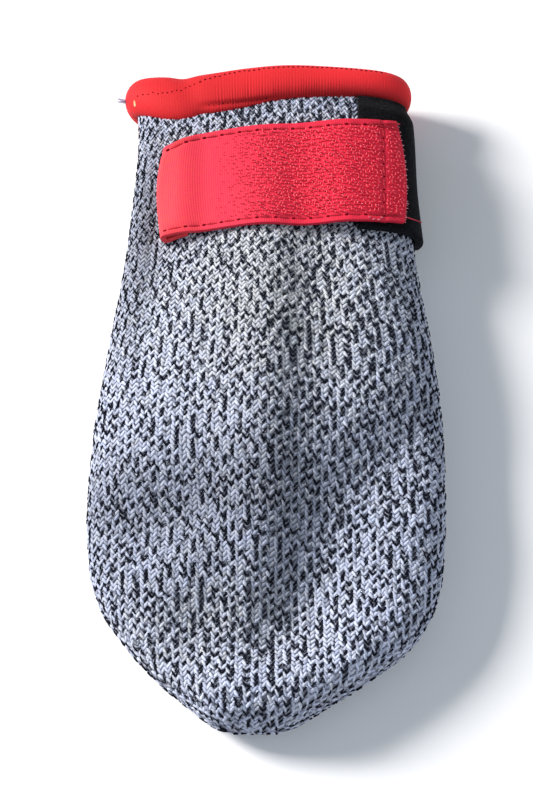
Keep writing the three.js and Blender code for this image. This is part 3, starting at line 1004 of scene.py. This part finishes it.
# painted shade: the holes are coloured dark red, as the shade inside them would be
hole_shade_finish = mottled_material("needle_hole", roughness=1.0, specular=0.0, grains=800.0, stops=[
    (0.3, (0.08, 0.002, 0.005)), (0.7, (0.18, 0.005, 0.011)),
])
finish_piece(cuff_holes, hole_shade_finish)

# %% [markdown]
# ## The hook tape
# The strap is a woven tape with hooks, sewn down along its two long edges and across its right end. Its left
# end is turned under, and the upper corner there is drawn in. A grid is laid over the front: its first
# columns lie underneath and bend round the fold, and the others have soft troughs where the seams pull the
# tape down and a selvage that swells beside them. Solidify gives it thickness and Bevel rounds its cut edges.

# %% Face of the tape
SEAM_INSET, END_SEAM_INSET = 1.25, 3.2  # from the long edges, from the right end
SEAM_PITCH = 3.6
SEAM_DEPTH, SEAM_PULL, SEAM_SPREAD = 0.34, 0.25, 0.5  # trough of the seams, its share that comes and goes
SELVAGE_RISE, SELVAGE_INSET, SELVAGE_SPREAD = 0.12, 0.9, 0.6
END_SEAM_DEPTH, END_SEAM_SPREAD = 0.22, 0.45
CORNER_LIFT, CORNER_SPAN = 0.9, 3.0  # the lower left corner stands up
CORNER_TUCK, CORNER_FADE = 1.4, 8.0  # how far the upper one is drawn in, and over which length


def tape_relief(distance, across):
    """Relief of the tape's face: seam troughs, a raised selvage and a lifted lower left corner."""
    from_edge = STRAP_WIDTH / 2 - np.abs(across)
    from_left = distance - STRAP_LEFT
    pull = 1 - SEAM_PULL + SEAM_PULL * np.cos(2 * np.pi * from_left / SEAM_PITCH)
    seam = -SEAM_DEPTH * pull * hump(from_edge, SEAM_INSET, SEAM_SPREAD)
    selvage = SELVAGE_RISE * hump(from_edge, SELVAGE_INSET, SELVAGE_SPREAD)
    end = -END_SEAM_DEPTH * hump(STRAP_RIGHT - distance, END_SEAM_INSET, END_SEAM_SPREAD)
    corner = CORNER_LIFT * hump(from_left, 0, CORNER_SPAN) * hump(across, -STRAP_WIDTH / 2, CORNER_SPAN)
    return seam + selvage + end + corner


def over_knit(distance, across, height):
    """Points by distance from the crown line, place across the tape's full width and height over the knit."""
    width = STRAP_LEFT_WIDTH + (STRAP_WIDTH - STRAP_LEFT_WIDTH) * smoothstep(strap_share(distance), -1, 0)
    tuck = CORNER_TUCK * smoothstep(across, 0, STRAP_WIDTH / 2)
    tuck = tuck * (1 - smoothstep(distance, STRAP_LEFT, STRAP_LEFT + CORNER_FADE))
    along = strap_middle(distance) + across * width / STRAP_WIDTH - tuck
    return lay(turn_after(distance, along), along, height)


print("seams from the tape's edges:", SEAM_INSET, "and", END_SEAM_INSET)

# %% Form of the tape
TAPE_THICKNESS = 1.05
TAPE_CLOTH = 0.95  # share of it that is cloth, so that the tape stays clear of the knit
TAPE_EDGE = 0.25  # rounding of its cut edges
TAPE_COLUMNS, TAPE_ROWS = 190, 70
TAB_RAMP = 13.0  # length over which the tape climbs onto the tab
LEFT_BOW, RIGHT_BOW, RIGHT_SLANT = 1.4, 0.9, 0.7
FOLD_UNDER = 4.0  # length of the left end that is turned under
HEM_START, HEM_END = 3.0, 9.0  # from the left end: the doubled tape starts to sink, lies single


def strap_seat(distance):
    """Height of the tape's lower face: it rises over the tab where the two overlap."""
    ramp = smoothstep(distance, TAB_START - GAP - TAB_RAMP, TAB_START - GAP)
    return GAP + ramp * (TAB_THICKNESS + GAP)


def tape_surface(distance, across):
    """Upper face of the tape; the end that is turned under raises it on the left."""
    double = 1 - smoothstep(distance, STRAP_LEFT + HEM_START, STRAP_LEFT + HEM_END)
    height = strap_seat(distance) + TAPE_THICKNESS * (1 + double) + tape_relief(distance, across)
    return over_knit(distance, across, height)


def strap_ends(across):
    """Distances of the tape's cut ends: both bulge, and the right one slants."""
    aside = 2 * across / STRAP_WIDTH
    bow = 1 - aside**2
    return STRAP_LEFT - LEFT_BOW * bow, STRAP_RIGHT + RIGHT_BOW * bow - RIGHT_SLANT * aside


def tape_point(share_long, share_wide):
    """Outer face of the tape at two shares of the grid: turned-under end, round fold, upper face."""
    across = STRAP_WIDTH * (share_wide - 0.5)
    left, right = strap_ends(across)
    fold = left + TAPE_THICKNESS
    half_round = np.pi * TAPE_THICKNESS
    way = share_long * (FOLD_UNDER + half_round + right - fold) - FOLD_UNDER
    bend = np.clip(way / TAPE_THICKNESS, 0, np.pi) - np.pi / 2
    distance = fold - TAPE_THICKNESS * np.cos(bend) - np.minimum(way, 0)
    height = GAP + TAPE_THICKNESS * (1 + np.sin(bend))
    height = height + tape_relief(distance, across) * (0.5 + 0.5 * np.sin(bend))
    face = tape_surface(fold + np.maximum(way - half_round, 0), across)
    return np.where((way > half_round)[:, None], face, over_knit(distance, across, height))


strap_tape = shape_grid("strap_tape", TAPE_COLUMNS, TAPE_ROWS, tape_point)
apply_modifier(strap_tape, "SOLIDIFY", thickness=TAPE_CLOTH * TAPE_THICKNESS * MM, offset=-1.0)
soften_edges(strap_tape, width=TAPE_EDGE, segments=2)
print("grid of the tape:", TAPE_COLUMNS, "by", TAPE_ROWS)

# %% [markdown]
# The tape is a plain weave of red filament. Its grid brings a UV map, which follows the tape, so the weave is
# drawn there: two crossing waves for the threads. The colour runs from a smooth coral to a deeper crimson
# where the hooks stand, with a mottle that breaks the change.

# %% Finish of the tape
WARP_SCALE, WEFT_SCALE = 38.0, 20.0
MOTTLE = 0.35  # share of the noise in the change of colour
tape_finish = new_material("tape_weave", {"Roughness": 0.65, "Specular IOR Level": 0.15})
tape_map = add_node(tape_finish, "ShaderNodeUVMap", uv_map="UVMap").outputs["UV"]
warp, weft = (
    add_node(tape_finish, "ShaderNodeTexWave", {"Vector": tape_map, "Scale": scale}, bands_direction=way)
    for scale, way in ((WARP_SCALE, "X"), (WEFT_SCALE, "Y"))
)
weave = add_node(tape_finish, "ShaderNodeMath", {
    0: warp.outputs["Fac"], 1: weft.outputs["Fac"],
}, operation="ADD")
bump(tape_finish, weave.outputs["Value"], depth=0.04, strength=0.6)
lengthways = add_node(tape_finish, "ShaderNodeSeparateXYZ", {"Vector": tape_map}).outputs["X"]
mottle = object_noise(tape_finish, grains=900.0, detail=3.0)
blend = add_node(tape_finish, "ShaderNodeMath", {
    0: mottle, 1: MOTTLE, 2: lengthways,
}, operation="MULTIPLY_ADD")
feed(tape_finish, "Base Color", colour_ramp(tape_finish, blend.outputs["Value"], [
    (0.25, (0.67, 0.05, 0.059)), (0.5, (0.7, 0.036, 0.071)), (0.85, (0.66, 0.022, 0.052)),
]))
finish_piece(strap_tape, tape_finish, smooth_angle=40, stands_for="strap")

# %% [markdown]
# ## The hooks
# Hook tape is covered with tiny bent filaments. One hook is a triangle that is extruded upwards and over, in
# three steps. Copies stand in staggered rows between the seams. The left quarter of the tape has none and is
# smooth, and beside it they are worn down and sparse.

# %% One hook
HOOK_RADIUS = 0.13
HOOK_STEPS = [(0.02, 0.0, 0.36), (0.14, 0.0, 0.2), (0.2, 0.0, 0.02)]
bpy.ops.object.select_all(action="DESELECT")
bpy.ops.mesh.primitive_circle_add(vertices=3, radius=HOOK_RADIUS, fill_type="NGON")
bpy.ops.object.mode_set(mode="EDIT")
bpy.ops.mesh.select_all(action="SELECT")
for step in HOOK_STEPS:
    bpy.ops.mesh.extrude_region_move(TRANSFORM_OT_translate={"value": step})
bpy.ops.mesh.select_all(action="SELECT")
bpy.ops.mesh.normals_make_consistent(inside=False)
bpy.ops.object.mode_set(mode="OBJECT")
hook_pattern = take_pattern()
print("faces of one hook:", len(hook_pattern["starts"]))

# %% Places of the hooks
TAPE_STEP = 0.2
HOOK_PITCH_LONG, HOOK_PITCH_WIDE = 0.8, 0.74
HOOK_MARGIN = 0.8  # bare strip beside the long seams
HOOK_START, HOOK_FULL = 11.0, 22.0  # from the left end: first hooks, full hooks
HOOK_LEAD = 2.0  # the first hooks have already grown over this length
PLACE_SPREAD = 0.12
SEAM_ROOM, END_ROOM = 0.5, 0.45  # no hooks this near to the end seam or to the cut end
WORN_SHARE = 0.2  # share of the hooks that is left where they are worn most


def tape_frame(distance, across):
    """Points of the tape's upper face with its directions and normal."""
    return surface_frame(tape_surface, distance, across, TAPE_STEP, TAPE_STEP)


def hook_places():
    """Distance and place across the tape of every hook, in staggered rows."""
    half_field = STRAP_WIDTH / 2 - SEAM_INSET - HOOK_MARGIN
    long_steps = np.arange(STRAP_LEFT + HOOK_START, STRAP_RIGHT + RIGHT_BOW, HOOK_PITCH_LONG)
    wide_steps = np.arange(-half_field, half_field, HOOK_PITCH_WIDE)
    distance, across = np.meshgrid(long_steps, wide_steps)
    distance = distance + 0.5 * HOOK_PITCH_LONG * (np.arange(len(wide_steps)) % 2)[:, None]
    return distance.ravel(), across.ravel()


hook_distance, hook_across = (steps + random.normal(0, PLACE_SPREAD, len(steps)) for steps in hook_places())
growth = smoothstep(hook_distance, STRAP_LEFT + HOOK_START - HOOK_LEAD, STRAP_LEFT + HOOK_FULL)
kept = random.random(len(growth)) < WORN_SHARE + (1 - WORN_SHARE) * growth
kept &= np.abs(STRAP_RIGHT - END_SEAM_INSET - hook_distance) > SEAM_ROOM
kept &= hook_distance < strap_ends(hook_across)[1] - END_ROOM
hook_distance, hook_across, growth = hook_distance[kept], hook_across[kept], growth[kept]
print("hooks:", len(growth))

# %% Rows of hooks
WORN_SIZE, SIZE_SPREAD = 0.45, 0.08
WORN_HIGHLIGHT = 0.35  # share of the painted highlight that the tips of the most worn hooks keep
FACING_SPREAD = 0.7  # in radians; half the hooks look up the sock and half down
HOOK_SINK = 0.03
count = len(growth)
point, right, up, normal = tape_frame(hook_distance, hook_across)
size = (WORN_SIZE + (1 - WORN_SIZE) * growth + random.normal(0, SIZE_SPREAD, count))[:, None]
facing = random.normal(math.pi / 2, FACING_SPREAD, (count, 1)) + np.pi * (random.random((count, 1)) < 0.5)
ahead = right * np.cos(facing) + up * np.sin(facing)
hooks = stamp(
    "strap_hooks", hook_pattern, point - HOOK_SINK * normal,
    ahead * size, np.cross(normal, ahead) * size, normal * size,
)
# painted highlight: the tips of the hooks are paler, as where they catch the light, and less so on worn hooks
tip = hook_pattern["points"][:, 2] / hook_pattern["points"][:, 2].max()
tip_highlight = WORN_HIGHLIGHT + (1 - WORN_HIGHLIGHT) * growth
point_attribute(hooks, "tip", np.tile(tip, count) * np.repeat(tip_highlight, len(tip)))
hook_finish = new_material("hook_filament", {"Roughness": 0.7, "Specular IOR Level": 0.2})
feed(hook_finish, "Base Color", colour_ramp(hook_finish, stored_value(hook_finish, "tip"), [
    (0.0, (0.64, 0.023, 0.052)), (0.6, (0.76, 0.048, 0.082)), (1.0, (0.8, 0.095, 0.13)),
]))
finish_piece(hooks, hook_finish)

# %% [markdown]
# ## The seams of the tape
# Two long seams and one short one hold the tape. Their stitches are dark red threads that dip into a needle
# hole at each end; the short seam's thread is paler. A thread is a stretched ball, laid in the trough that
# the tape's face already has.

# %% Seam stitches
THREAD_WIDTH, THREAD_LIFT = 0.42, 0.02
THREAD_ROOM = 0.22  # a thread ends this much before the middle of its hole
END_PITCH = 3.0
SEAM_START = 1.2  # first hole from the left end
EDGE_LINE, END_LINE = STRAP_WIDTH / 2 - SEAM_INSET, STRAP_RIGHT - END_SEAM_INSET
thread_pattern = ball_pattern(segments=8, rings=7)


def seam_line(start, end, pitch):
    """Ends of the stitches along a seam."""
    return np.linspace(start, end, round((end - start) / pitch) + 1)


def seam_stitches(name, distance, across, runs_long):
    """Threads between the ends of a seam's stitches, and the tape's frames at those ends."""
    halves = np.hypot(np.diff(distance), np.diff(across))[:, None] / 2
    point, right, up, normal = tape_frame(*((ends[1:] + ends[:-1]) / 2 for ends in (distance, across)))
    ahead, aside = (right, up) if runs_long else (up, right)
    threads = stamp(
        name, thread_pattern, point + THREAD_LIFT * normal,
        aside * THREAD_WIDTH / 2, normal * THREAD_WIDTH / 2, -ahead * (halves - THREAD_ROOM),
    )
    return threads, tape_frame(distance, across)


long_ends = seam_line(STRAP_LEFT + SEAM_START, END_LINE, SEAM_PITCH)
wide_ends = seam_line(-EDGE_LINE, EDGE_LINE, END_PITCH)
edge_line, end_line = np.full_like(long_ends, EDGE_LINE), np.full_like(wide_ends, END_LINE)
upper_seam, upper_ends = seam_stitches("strap_seam_upper", long_ends, edge_line, runs_long=True)
lower_seam, lower_ends = seam_stitches("strap_seam_lower", long_ends, -edge_line, runs_long=True)
end_seam, end_ends = seam_stitches("strap_seam_end", end_line, wide_ends, runs_long=False)
thread_finish = mottled_material("seam_thread", roughness=0.6, specular=0.3, grains=1500.0, stops=[
    (0.3, (0.3, 0.005, 0.015)), (0.7, (0.48, 0.012, 0.03)),
])
end_thread_finish = mottled_material("end_seam_thread", roughness=0.6, specular=0.3, grains=1500.0, stops=[
    (0.3, (0.46, 0.01, 0.026)), (0.7, (0.62, 0.02, 0.044)),
])
finish_piece(upper_seam, thread_finish)
finish_piece(lower_seam, thread_finish)
finish_piece(end_seam, end_thread_finish)

# %% Needle holes of the tape
PIT_LONG, PIT_WIDE, PIT_DEPTH, PIT_LIFT = 0.46, 0.32, 0.12, 0.05
SEAM_SIZES = [1.0, 1.0, 0.6]  # size of the holes of the upper, lower and end seam
point, right, up, normal = (np.concatenate(column) for column in zip(upper_ends, lower_ends, end_ends))
size = np.repeat(SEAM_SIZES, [len(long_ends), len(long_ends), len(wide_ends)])[:, None]
# dark with the same painted shade as the cuff's holes
strap_holes = stamp(
    "strap_needle_holes", dot_pattern, point + PIT_LIFT * normal,
    PIT_LONG * size * right, PIT_WIDE * size * up, PIT_DEPTH * normal,
)
finish_piece(strap_holes, hole_shade_finish)

# %% [markdown]
# ## Loose ends
# A sewn piece has its small accidents, and they tell that it is cloth. Thread tails lie at the right corners
# of the tape, one of them over the tab. The cut right end frays, the seam left a few pale knots below it, and
# a tuft of yarn and a bit of lint stick to the left end of the cuff. A tail is a path curve through five
# points, made a mesh; fibres and knots are stamped.

# %% Thread tails
TAIL_RADIUS = 0.16
# distance, place across the tape, height over the knit
THREAD_TAILS = [
    [(22.4, -10.9, 3.5), (24.4, -10.7, 3.75), (26.6, -10.7, 3.8), (28.6, -10.4, 2.5), (32.0, -9.7, 2.3)],
    [(20.0, 10.8, 3.4), (21.5, 11.0, 3.7), (23.0, 11.0, 3.65), (24.5, 11.2, 3.7), (26.2, 11.4, 3.6)],
    [(20.4, 10.7, 3.4), (22.0, 10.5, 3.7), (23.4, 10.4, 3.65), (24.6, 10.2, 3.7), (26.0, 10.1, 3.65)],
]


def thread_tail(name, points):
    """A thread along a smooth path through five points."""
    bpy.ops.object.select_all(action="DESELECT")
    bpy.ops.curve.primitive_nurbs_path_add()
    tail = named(name)
    for control, place in zip(tail.data.splines[0].points, over_knit(*np.array(points).T)):
        control.co = (*(place * MM), 1.0)
    tail.data.bevel_depth = TAIL_RADIUS * MM
    tail.data.bevel_resolution = 2
    tail.data.use_fill_caps = True
    bpy.ops.object.convert(target="MESH")
    finish_piece(tail, thread_finish, smooth_angle=60)


for number, points in enumerate(THREAD_TAILS, 1):
    thread_tail(f"thread_tail_{number}", points)

# %% Frayed end of the tape
FRAY_COUNT, FRAY_RADIUS = 90, 0.1
FRAY_LENGTHS = (0.35, 0.85)
FRAY_DEPTHS = (0.05, 0.9)  # of the roots under the tape's face
FRAY_ROOM, FRAY_ROOT = 0.3, 0.15  # from the tape's corners, behind the cut
FRAY_ASIDE, FRAY_UP = 0.35, 0.2  # how much the fibres stray


def fibres(name, root, ahead, aside, up, length, radius):
    """Straight fibres from their roots, each along its own direction."""
    middle = root + ahead * length / 2
    return stamp(name, leg_pattern, middle, aside * radius, up * radius, -ahead * length / 2)


fray_across = np.linspace(-STRAP_WIDTH / 2 + FRAY_ROOM, STRAP_WIDTH / 2 - FRAY_ROOM, FRAY_COUNT)
root, right, up, normal = tape_frame(strap_ends(fray_across)[1] - FRAY_ROOT, fray_across)
root = root - normal * random.uniform(*FRAY_DEPTHS, (FRAY_COUNT, 1))
stray_aside = up * random.normal(0, FRAY_ASIDE, (FRAY_COUNT, 1))
stray_up = normal * random.normal(0, FRAY_UP, (FRAY_COUNT, 1))
ahead = unit(right + stray_aside + stray_up)
length = random.uniform(*FRAY_LENGTHS, (FRAY_COUNT, 1))
fray = fibres("strap_fray", root, ahead, up, normal, length, FRAY_RADIUS)
fray_finish = mottled_material("frayed_filament", roughness=0.7, specular=0.2, grains=900.0, stops=[
    (0.3, (0.72, 0.16, 0.2)), (0.7, (0.86, 0.5, 0.53)),
])
finish_piece(fray, fray_finish)

# %% Knots of the lower seam
KNOT_PLACES = [(20.4, -11.6), (21.2, -12.0), (22.1, -12.1), (22.7, -11.5)]  # distance, across
KNOT_LONG, KNOT_WIDE, KNOT_RISE, KNOT_LIFT = 0.36, 0.17, 0.16, 0.05
point, right, up, normal = tape_frame(*np.array(KNOT_PLACES).T)
knots = stamp(
    "seam_knots", dot_pattern, point + KNOT_LIFT * normal,
    KNOT_LONG * right, KNOT_WIDE * up, KNOT_RISE * normal,
)
knot_finish = mottled_material("pale_knot", roughness=0.7, specular=0.2, grains=1500.0, stops=[
    (0.35, (0.58, 0.09, 0.13)), (0.65, (0.66, 0.26, 0.3)),
])
finish_piece(knots, knot_finish)

# %% Tuft and lint on the cuff
TUFT_COUNT, TUFT_RADIUS = 16, 0.09
TUFT_LENGTHS = (1.3, 2.6)
TUFT_TURN, TUFT_ANGLE = 0.488, 1.5
TUFT_SINK, TUFT_SPREAD, TUFT_LEAN = 0.3, 0.3, 0.25
LINT_TURN, LINT_ANGLE = 0.455, 1.09
LINT_WIDE, LINT_LONG, LINT_RISE, LINT_SKEW = 0.34, 0.75, 0.13, 0.1
root, right, up, normal = cuff_frame(np.full(TUFT_COUNT, TUFT_TURN), np.full(TUFT_COUNT, TUFT_ANGLE))
root = root - TUFT_SINK * normal + random.normal(0, TUFT_SPREAD, (TUFT_COUNT, 1)) * up
stray_up = random.normal(TUFT_LEAN, TUFT_SPREAD, (TUFT_COUNT, 1)) * up
stray_aside = random.normal(0, TUFT_SPREAD, (TUFT_COUNT, 1)) * right
ahead = unit(normal + stray_up + stray_aside)
length = random.uniform(*TUFT_LENGTHS, (TUFT_COUNT, 1))
tuft = fibres("cuff_tuft", root, ahead, right, up, length, TUFT_RADIUS)
tuft_finish = mottled_material("loose_yarn", roughness=0.9, specular=0.1, grains=1500.0, stops=[
    (0.35, (0.34, 0.31, 0.45)), (0.65, (0.62, 0.6, 0.72)),
])
finish_piece(tuft, tuft_finish)
point, right, up, normal = cuff_frame(np.full(1, LINT_TURN), np.full(1, LINT_ANGLE))
lint = stamp(
    "cuff_lint", dot_pattern, point, LINT_WIDE * right + LINT_SKEW * up, LINT_LONG * up, LINT_RISE * normal
)
lint_finish = mottled_material("peach_lint", roughness=0.9, specular=0.1, grains=1500.0, stops=[
    (0.35, (0.85, 0.32, 0.16)), (0.65, (0.95, 0.6, 0.36)),
])
finish_piece(lint, lint_finish)

# %% [markdown]
# ## The black tab
# The tab is a soft pad of black loop cloth. It is sewn under the right end of the tape and bends round the
# side of the sock. It is a grid again, its free corners rounded, with thickness from Solidify and a soft edge
# from Bevel. Its upper edge is caught under the cuff and pressed thin there: a vertex group tells Solidify
# how much of the thickness is left.

# %% Form of the tab
TAB_COLUMNS, TAB_ROWS = 70, 80
TAB_CLIMB = 2.6  # how much its lower edge rises towards the free end
TAB_TUCK = 1.6  # its upper edge reaches this much further, under the cuff
TAB_TRIM = 1.3  # its sewn end is cut back by this much
TAB_TOP = TAB_MIDDLE + TAB_WIDTH / 2 + TAB_TUCK
TAB_THINNING, TAB_TAPER = 0.62, 4.0  # share of the thickness lost under the cuff, and over which length
TAB_CLOTH = TAB_THICKNESS - 0.1  # a little thinner, so that the tab stays clear of the knit
TAB_EDGE = 0.5


def tab_place(share_long, share_wide):
    """Distance from the crown line and place along the sock at two shares of the grid."""
    distance = TAB_TRIM + (TAB_LENGTH - TAB_TRIM) * share_long
    into = np.maximum(distance - (TAB_LENGTH - TAB_CORNER), 0)
    half_width = TAB_WIDTH / 2 - TAB_CORNER + np.sqrt(np.maximum(TAB_CORNER**2 - into**2, 0))
    climb = TAB_CLIMB * share_long**2
    along = TAB_MIDDLE + half_width - (2 * half_width - climb) * (1 - share_wide) + TAB_TUCK * share_wide
    return TAB_START + distance, along


def tab_fullness(along):
    """Share of its full thickness that the tab has: it is pressed thin under the cuff."""
    return 1 - TAB_THINNING * smoothstep(along, TAB_TOP - TAB_TAPER, TAB_TOP)


def tab_point(share_long, share_wide):
    """Upper face of the tab at two shares of the grid."""
    distance, along = tab_place(share_long, share_wide)
    return lay(turn_after(distance, along), along, GAP + TAB_THICKNESS * tab_fullness(along))


tab_pad = shape_grid("tab_pad", TAB_COLUMNS, TAB_ROWS, tab_point)
fullness = tab_pad.vertex_groups.new(name="fullness")
for vertex, weight in enumerate(tab_fullness(tab_place(*grid_shares(TAB_COLUMNS, TAB_ROWS))[1])):
    fullness.add([vertex], weight, "REPLACE")
apply_modifier(tab_pad, "SOLIDIFY", thickness=TAB_CLOTH * MM, offset=-1.0, vertex_group=fullness.name)
soften_edges(tab_pad, width=TAB_EDGE, segments=3)
print("tab in mm:", TAB_CLOTH, "thick,", round(TAB_CLOTH * (1 - TAB_THINNING), 2), "at its pressed edge")

# %% [markdown]
# The tab's nap is too fine to model: a noise in the bump stands for the loops and, as painted shade, darkens
# the hollows between them, and a trace of sheen lets the loops catch the light.

# %% Finish of the tab
tab_finish = new_material("tab_nap", {
    "Roughness": 0.95, "Specular IOR Level": 0.06, "Sheen Weight": 0.03, "Sheen Roughness": 0.5,
})
loops = object_noise(tab_finish, grains=1400.0, detail=3.0)
# the same noise paints shade into the hollows between the loops
feed(tab_finish, "Base Color", colour_ramp(tab_finish, loops, [
    (0.3, (0.002, 0.002, 0.003)), (0.6, (0.005, 0.005, 0.007)), (0.75, (0.016, 0.016, 0.02)),
]))
bump(tab_finish, loops, depth=0.3, strength=0.8)
finish_piece(tab_pad, tab_finish, smooth_angle=60, stands_for="tab")

# %% [markdown]
# ## Floor, light and camera
# The stage is a plain pale floor under soft studio light. The key comes from the upper left, as the shading
# of the sock asks, with an even sky as fill. The camera looks down at 64 degrees from the toe's side, from
# 714 mm, and its lens frames the sock in an upright picture. Places here are metres.

# %% Floor
bpy.ops.object.select_all(action="DESELECT")
bpy.ops.mesh.primitive_plane_add(size=6.0)
floor = named("floor")
floor.data.materials.append(mottled_material("pale_floor", roughness=0.9, specular=0.1, grains=30.0, stops=[
    (0.3, (0.86, 0.86, 0.87)), (0.7, (0.88, 0.88, 0.89)),
]))
print("floor in metres:", floor.dimensions.x, "by", floor.dimensions.y)

# %% Lights
scene = bpy.context.scene
scene.view_settings.view_transform = "Standard"
world = bpy.data.worlds.new("studio_sky")
world.use_nodes = True
sky = world.node_tree.nodes["Background"].inputs
sky["Color"].default_value = (0.8, 0.89, 1.0, 1.0)
sky["Strength"].default_value = 0.34
scene.world = world


def aim(thing, place, target):
    """Puts a light or camera at a place, looking at a target."""
    thing.location = place
    direction = np.asarray(target, float) - np.asarray(place, float)
    thing.rotation_euler = Vector(direction).to_track_quat("-Z", "Y").to_euler()


def add_light(name, place, size, energy, colour):
    """A square area light that looks at the sock."""
    bpy.ops.object.light_add(type="AREA")
    light = named(name)
    light.data.size = size
    light.data.energy = energy
    light.data.color = colour
    aim(light, place, (0.0, 0.0, 0.01))
    print(name, "light:", energy, "watts")


add_light("key", place=(-0.88, 0.3, 0.56), size=0.35, energy=23.0, colour=(1.0, 0.97, 0.94))
add_light("fill", place=(0.75, -0.6, 0.75), size=0.9, energy=5.0, colour=(0.9, 0.95, 1.0))

# %% Camera
CAMERA_ELEVATION = math.radians(64)
CAMERA_DISTANCE = 0.714
CAMERA_TARGET = (0.0, -0.0019, 0.009)
camera_place = (
    CAMERA_TARGET[0],
    CAMERA_TARGET[1] - CAMERA_DISTANCE * math.cos(CAMERA_ELEVATION),
    CAMERA_TARGET[2] + CAMERA_DISTANCE * math.sin(CAMERA_ELEVATION),
)
bpy.ops.object.camera_add()
camera = named("camera")
camera.data.sensor_width = 36.0
camera.data.lens = 160.0
aim(camera, camera_place, CAMERA_TARGET)
scene.camera = camera
print("camera at:", [round(value, 3) for value in camera_place])
